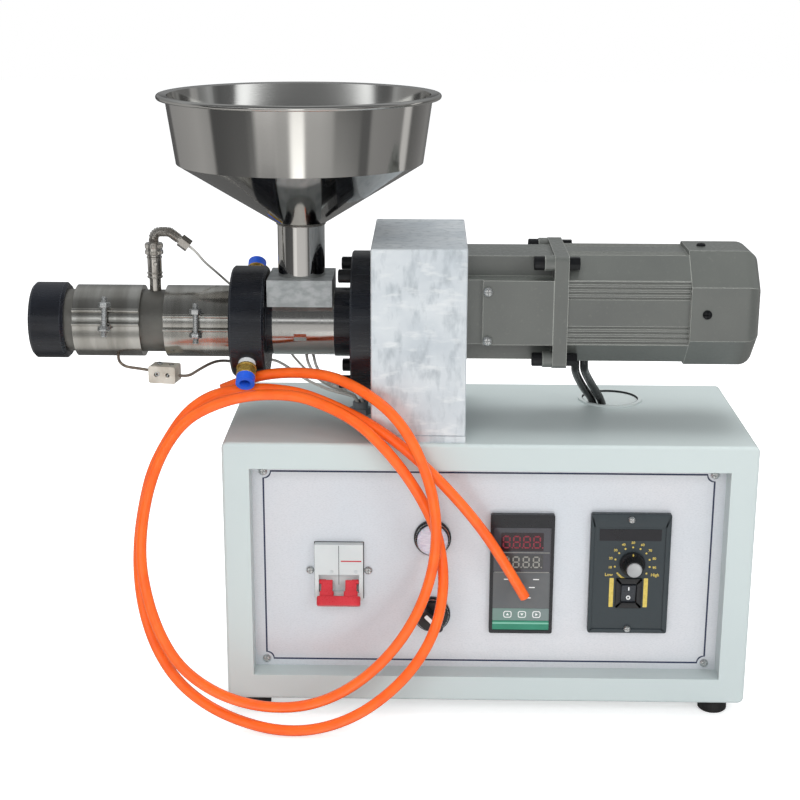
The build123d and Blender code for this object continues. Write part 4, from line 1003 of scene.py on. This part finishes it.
# Bearing flange, cooling ring and die cap: turned steel, blackened; the flange has four socket
# screws with a hexagon socket sunk in each head.
blackened_steel = finish("blackened_steel", srgb(27, 30, 37), 0.28, 0.15, Specular_IOR_Level=0.6)
texture(blackened_steel, 40, second=srgb(20, 22, 28), spread=(0.35, 0.65))
texture(blackened_steel, 500, stretch=(0.1, 1, 1), height=0.02, roughness=(0.22, 0.38))
# The blackened steel is painted lighter along its edges.
brightened_edges(blackened_steel, srgb(70, 74, 82), 0.8)
dress(blackened_steel, "bearing_flange", "cooling_ring", "die_cap")
bolts_left = box("flange_bolts")[0].x
axis_y, axis_z = 0.0, 293
BOLT_CIRCLE_RADIUS = 47.5
hex_sockets = bmesh.new()
for turn in (58, 122, 238, 302):
    place = (bolts_left, axis_y + BOLT_CIRCLE_RADIUS * math.cos(math.radians(turn)),
             axis_z + BOLT_CIRCLE_RADIUS * math.sin(math.radians(turn)))
    turned(hex_sockets, ((4.6, -0.3), (4.6, 0.25), (4.3, 0.45), (2.9, 0.45), (2.6, 0.02), (0, 0.02)),
           place, (-1, 0, 0), 6)
mesh_piece("flange_bolt_sockets", hex_sockets, black_oxide)

# Barrel, throat and heaters: a nitrided steel tube with two clamped bands of stainless sheet, which
# are folded round bright clamp rods and threaded studs, and a ground throat under the hopper.
nitrided_steel = finish("nitrided_steel", srgb(120, 119, 114), 0.36, 0.6)
texture(nitrided_steel, 30, second=srgb(98, 97, 93), spread=(0.35, 0.7))
texture(nitrided_steel, 500, stretch=(1, 0.1, 0.1), height=0.02, roughness=(0.3, 0.44))
dress(nitrided_steel, "barrel")
band_steel = finish("band_steel", srgb(206, 205, 200), 0.18, 1.0)
texture(band_steel, 70, stretch=(1, 0.12, 0.12), second=srgb(168, 166, 160), spread=(0.38, 0.62), detail=6)
texture(band_steel, 40, stretch=(0.4, 1, 1), height=0.25, roughness=(0.14, 0.26))
dress(band_steel, "heater_bands")
dress(zinc_screw, "clamp_screws")
ground_steel = finish("ground_steel", srgb(190, 189, 186), 0.16, 1.0)
texture(ground_steel, 600, stretch=(1, 0.05, 0.05), height=0.01, roughness=(0.12, 0.22))
dress(ground_steel, "feed_throat")
ROD_REACH = 31.0
clamp_nuts = bmesh.new()
for centre_x, turn in ((-212.25, 17), (-144.25, 9)):
    lean = math.radians(turn)
    outward = Vector((0, -math.cos(lean), math.sin(lean)))
    upward = Vector((0, math.sin(lean), math.cos(lean)))
    rod = Vector((centre_x, axis_y, axis_z)) + outward * ROD_REACH
    for side in (-1, 1):
        turned(clamp_nuts, ((4.5, 6.9), (4.7, 7.3), (4.7, 10.2), (4.2, 10.8), (2.0, 10.8)), rod,
               upward * side, 6)
        for thread in range(5):
            rise = 10.9 + 0.8 * thread
            turned(clamp_nuts, ((2.0, rise), (2.35, rise + 0.3), (2.0, rise + 0.6)), rod, upward * side, 20)
mesh_piece("clamp_nuts", clamp_nuts, zinc_screw)

# Feed block and hopper: a milled aluminium block saddled on the throat, and a spun stainless
# bowl welded to a tube, polished to a mirror, with a rolled rim.
sawn_aluminium = finish("sawn_aluminium", srgb(182, 186, 187), 0.42, 0.6)
texture(sawn_aluminium, 130, stretch=(1, 1, 1.6), second=srgb(158, 163, 164), spread=(0.4, 0.6), detail=9)
texture(sawn_aluminium, 900, stretch=(0.3, 1, 1), height=0.04, roughness=(0.34, 0.52))
dress(sawn_aluminium, "feed_block")
mirror_steel = finish("mirror_steel", srgb(208, 207, 204), 0.07, 1.0)
texture(mirror_steel, 8, second=srgb(198, 197, 194), spread=(0.3, 0.7), roughness=(0.05, 0.11))
texture(mirror_steel, 900, stretch=(0.3, 0.3, 1.0), height=0.003)
dress(mirror_steel, "hopper_bowl", "hopper_spout")
spout_low, spout_high = box("hopper_spout")
hopper_x = (spout_low.x + spout_high.x) / 2
WELD_RADIUS, WELD_STEPS, WELD_SIDES, WELD_RIPPLES = 17.9, 120, 8, 40
weld = bmesh.new()
weld_rings = []
for k in range(WELD_STEPS):
    angle = 2 * math.pi * k / WELD_STEPS
    swell = 0.55 + 0.12 * math.sin(angle * WELD_RIPPLES)
    ring = []
    for m in range(WELD_SIDES):
        turn = 2 * math.pi * m / WELD_SIDES
        reach = WELD_RADIUS + swell * math.cos(turn)
        ring.append(weld.verts.new((hopper_x + reach * math.cos(angle), reach * math.sin(angle),
                                    spout_high.z - 0.3 + swell * math.sin(turn))))
    weld_rings.append(ring)
for one, other in zip(weld_rings, weld_rings[1:] + weld_rings[:1]):
    for m in range(WELD_SIDES):
        n = (m + 1) % WELD_SIDES
        weld.faces.new((one[m], one[n], other[n], other[m]))
weld_steel = finish("weld_steel", srgb(170, 168, 164), 0.3, 0.95)
texture(weld_steel, 400, second=srgb(140, 136, 130), height=0.05, roughness=(0.24, 0.4))
mesh_piece("hopper_weld", weld, weld_steel, sharp=60)

# Cooling fittings: brass push-in fittings for 8 mm tube, screwed into the ring over white
# sealing tape, each with a blue release ring that has a fine groove round it.
brass = finish("fitting_brass", srgb(232, 196, 104), 0.3, 0.75)
texture(brass, 300, height=0.01, roughness=(0.24, 0.36), second=srgb(214, 172, 84))
dress(brass, "fittings")
blue_moulding = finish("blue_moulding", srgb(46, 106, 236), 0.3)
texture(blue_moulding, 60, second=srgb(38, 92, 222), spread=(0.35, 0.65))
texture(blue_moulding, 900, height=0.02, roughness=(0.3, 0.42))
dress(blue_moulding, "release_rings")
seal_tape = finish("seal_tape", srgb(226, 228, 228), 0.6)
texture(seal_tape, 900, stretch=(1, 1, 1), height=0.12, roughness=(0.5, 0.7))
fitting_x = box("cooling_ring")[0].x + 13
RING_RADIUS = 42
tape, brass_steps = bmesh.new(), bmesh.new()
for turn in (215, 35):
    out = Vector((0, math.cos(math.radians(turn)), math.sin(math.radians(turn))))
    root = Vector((fitting_x, axis_y, axis_z)) + out * RING_RADIUS
    turned(tape, ((6.2, -0.6), (6.5, 0.6), (6.2, 1.4), (6.5, 2.3), (6.1, 3.6), (5.5, 3.9)), root, out, 36)
    turned(brass_steps, ((7.0, 4.0), (7.35, 4.5), (7.35, 5.6), (6.9, 6.0)), root, out, 36)
    turned(brass_steps, ((6.9, 11.6), (7.3, 11.9), (7.3, 12.8), (6.9, 13.2)), root, out, 36)
mesh_piece("fitting_seal_tape", tape, seal_tape, sharp=50)
mesh_piece("fitting_brass_rims", brass_steps, brass)

# Temperature sensor: a plated bayonet sleeve on the barrel with a knurled cap, a bent elbow wound
# with spring wire, and an end nut.
plated_sleeve = finish("plated_sleeve", srgb(206, 203, 197), 0.18, 0.95)
texture(plated_sleeve, 120, roughness=(0.12, 0.26), second=srgb(176, 171, 164), height=0.008)
dress(plated_sleeve, "sensor")
SENSOR_X, BARREL_RADIUS, KNURL_STEPS = -178.25, 23.5, 112
sensor_foot = Vector((SENSOR_X, axis_y, axis_z + BARREL_RADIUS))
knurls = bmesh.new()
for start, end in ((27.6, 30.6), (32.4, 35.6)):
    rings = []
    for rise, swell in ((start, 0), (start + 0.4, 1), (end - 0.4, 1), (end, 0)):
        ring = []
        for k in range(KNURL_STEPS):
            angle = 2 * math.pi * k / KNURL_STEPS
            reach = 6.2 + swell * (0.65 if k % 4 < 2 else 0.25)
            ring.append(knurls.verts.new(
                sensor_foot + Vector((reach * math.cos(angle), reach * math.sin(angle), rise))))
        rings.append(ring)
    for lower, upper in zip(rings, rings[1:]):
        for k in range(KNURL_STEPS):
            n = (k + 1) % KNURL_STEPS
            knurls.faces.new((lower[k], lower[n], upper[n], upper[k]))
for rise in (9.5, 12.5, 24.5):
    turned(knurls, ((5.3, rise), (5.85, rise + 0.5), (5.85, rise + 1.2), (5.3, rise + 1.7)),
           sensor_foot, (0, 0, 1), 40)
turned(knurls, ((1.5, 0), (1.5, 6.6), (1.2, 6.9), (0, 6.9)), sensor_foot + Vector((0, 0, 21)),
       (0.25, -1, 0), 20)
mesh_piece("sensor_knurls", knurls, plated_sleeve)
spring = bmesh.new()
slope = math.radians(37)
arc_points = [(Vector((0, 0, 37 + 1.1 * k)), Vector((0, 0, 1))) for k in range(3)]
for k in range(1, 7):
    turn = math.pi / 2 * k / 6
    arc_points.append((Vector((5 - 5 * math.cos(turn), 0, 39.5 + 5 * math.sin(turn))),
                       Vector((math.sin(turn), 0, math.cos(turn)))))
arc_points += [(Vector((5 + 1.25 * k, 0, 44.5)), Vector((1, 0, 0))) for k in range(1, 5)]
for k in range(1, 5):
    turn = slope * k / 4
    arc_points.append((Vector((10.33 + 5 * math.sin(turn), 0, 39.5 + 5 * math.cos(turn))),
                       Vector((math.cos(turn), 0, -math.sin(turn)))))
arc_points += [(Vector((13.34 + 1.2 * k * math.cos(slope), 0, 43.49 - 1.2 * k * math.sin(slope))),
                Vector((math.cos(slope), 0, -math.sin(slope)))) for k in range(1, 6)]
for middle, aim in arc_points:
    turned(spring, ((3.15, -0.55), (3.6, -0.35), (3.75, 0), (3.6, 0.35), (3.15, 0.55)),
           sensor_foot + middle, aim, 28)
mesh_piece("sensor_spring", spring, plated_sleeve)

# Terminal block and gland: a cream ceramic block with a brass screw over each terminal, which hangs
# on its leads, and the grey moulded gland in the cabinet's top.
ceramic = finish("terminal_ceramic", srgb(204, 199, 188), 0.5)
texture(ceramic, 80, second=srgb(176, 169, 156), spread=(0.4, 0.65), height=0.08)
dress(ceramic, "terminal_block")
terminal_screws = bmesh.new()
terminal_up = Vector((math.sin(TERMINAL_TILT), 0, math.cos(TERMINAL_TILT)))
for side in (-1, 1):
    seat = terminal_mid + terminal_out * side * 4.5 + terminal_up * 6.5
    turned(terminal_screws, pan_head(2.3, 1.3), seat, terminal_up, 24, cross=0.4)
    mouth = terminal_mid + terminal_out * side * 4.5 + Vector((0, -7, 0))
    turned(terminal_screws, ((1.7, -3.0), (1.7, -0.2), (1.1, -0.2), (1.1, -3.0)), mouth, (0, -1, 0), 20)
mesh_piece("terminal_screws", terminal_screws, zinc_screw)
gland_grey = finish("gland_grey", srgb(118, 126, 130), 0.45)
texture(gland_grey, 700, height=0.04, roughness=(0.38, 0.52))
dress(gland_grey, "cable_gland")
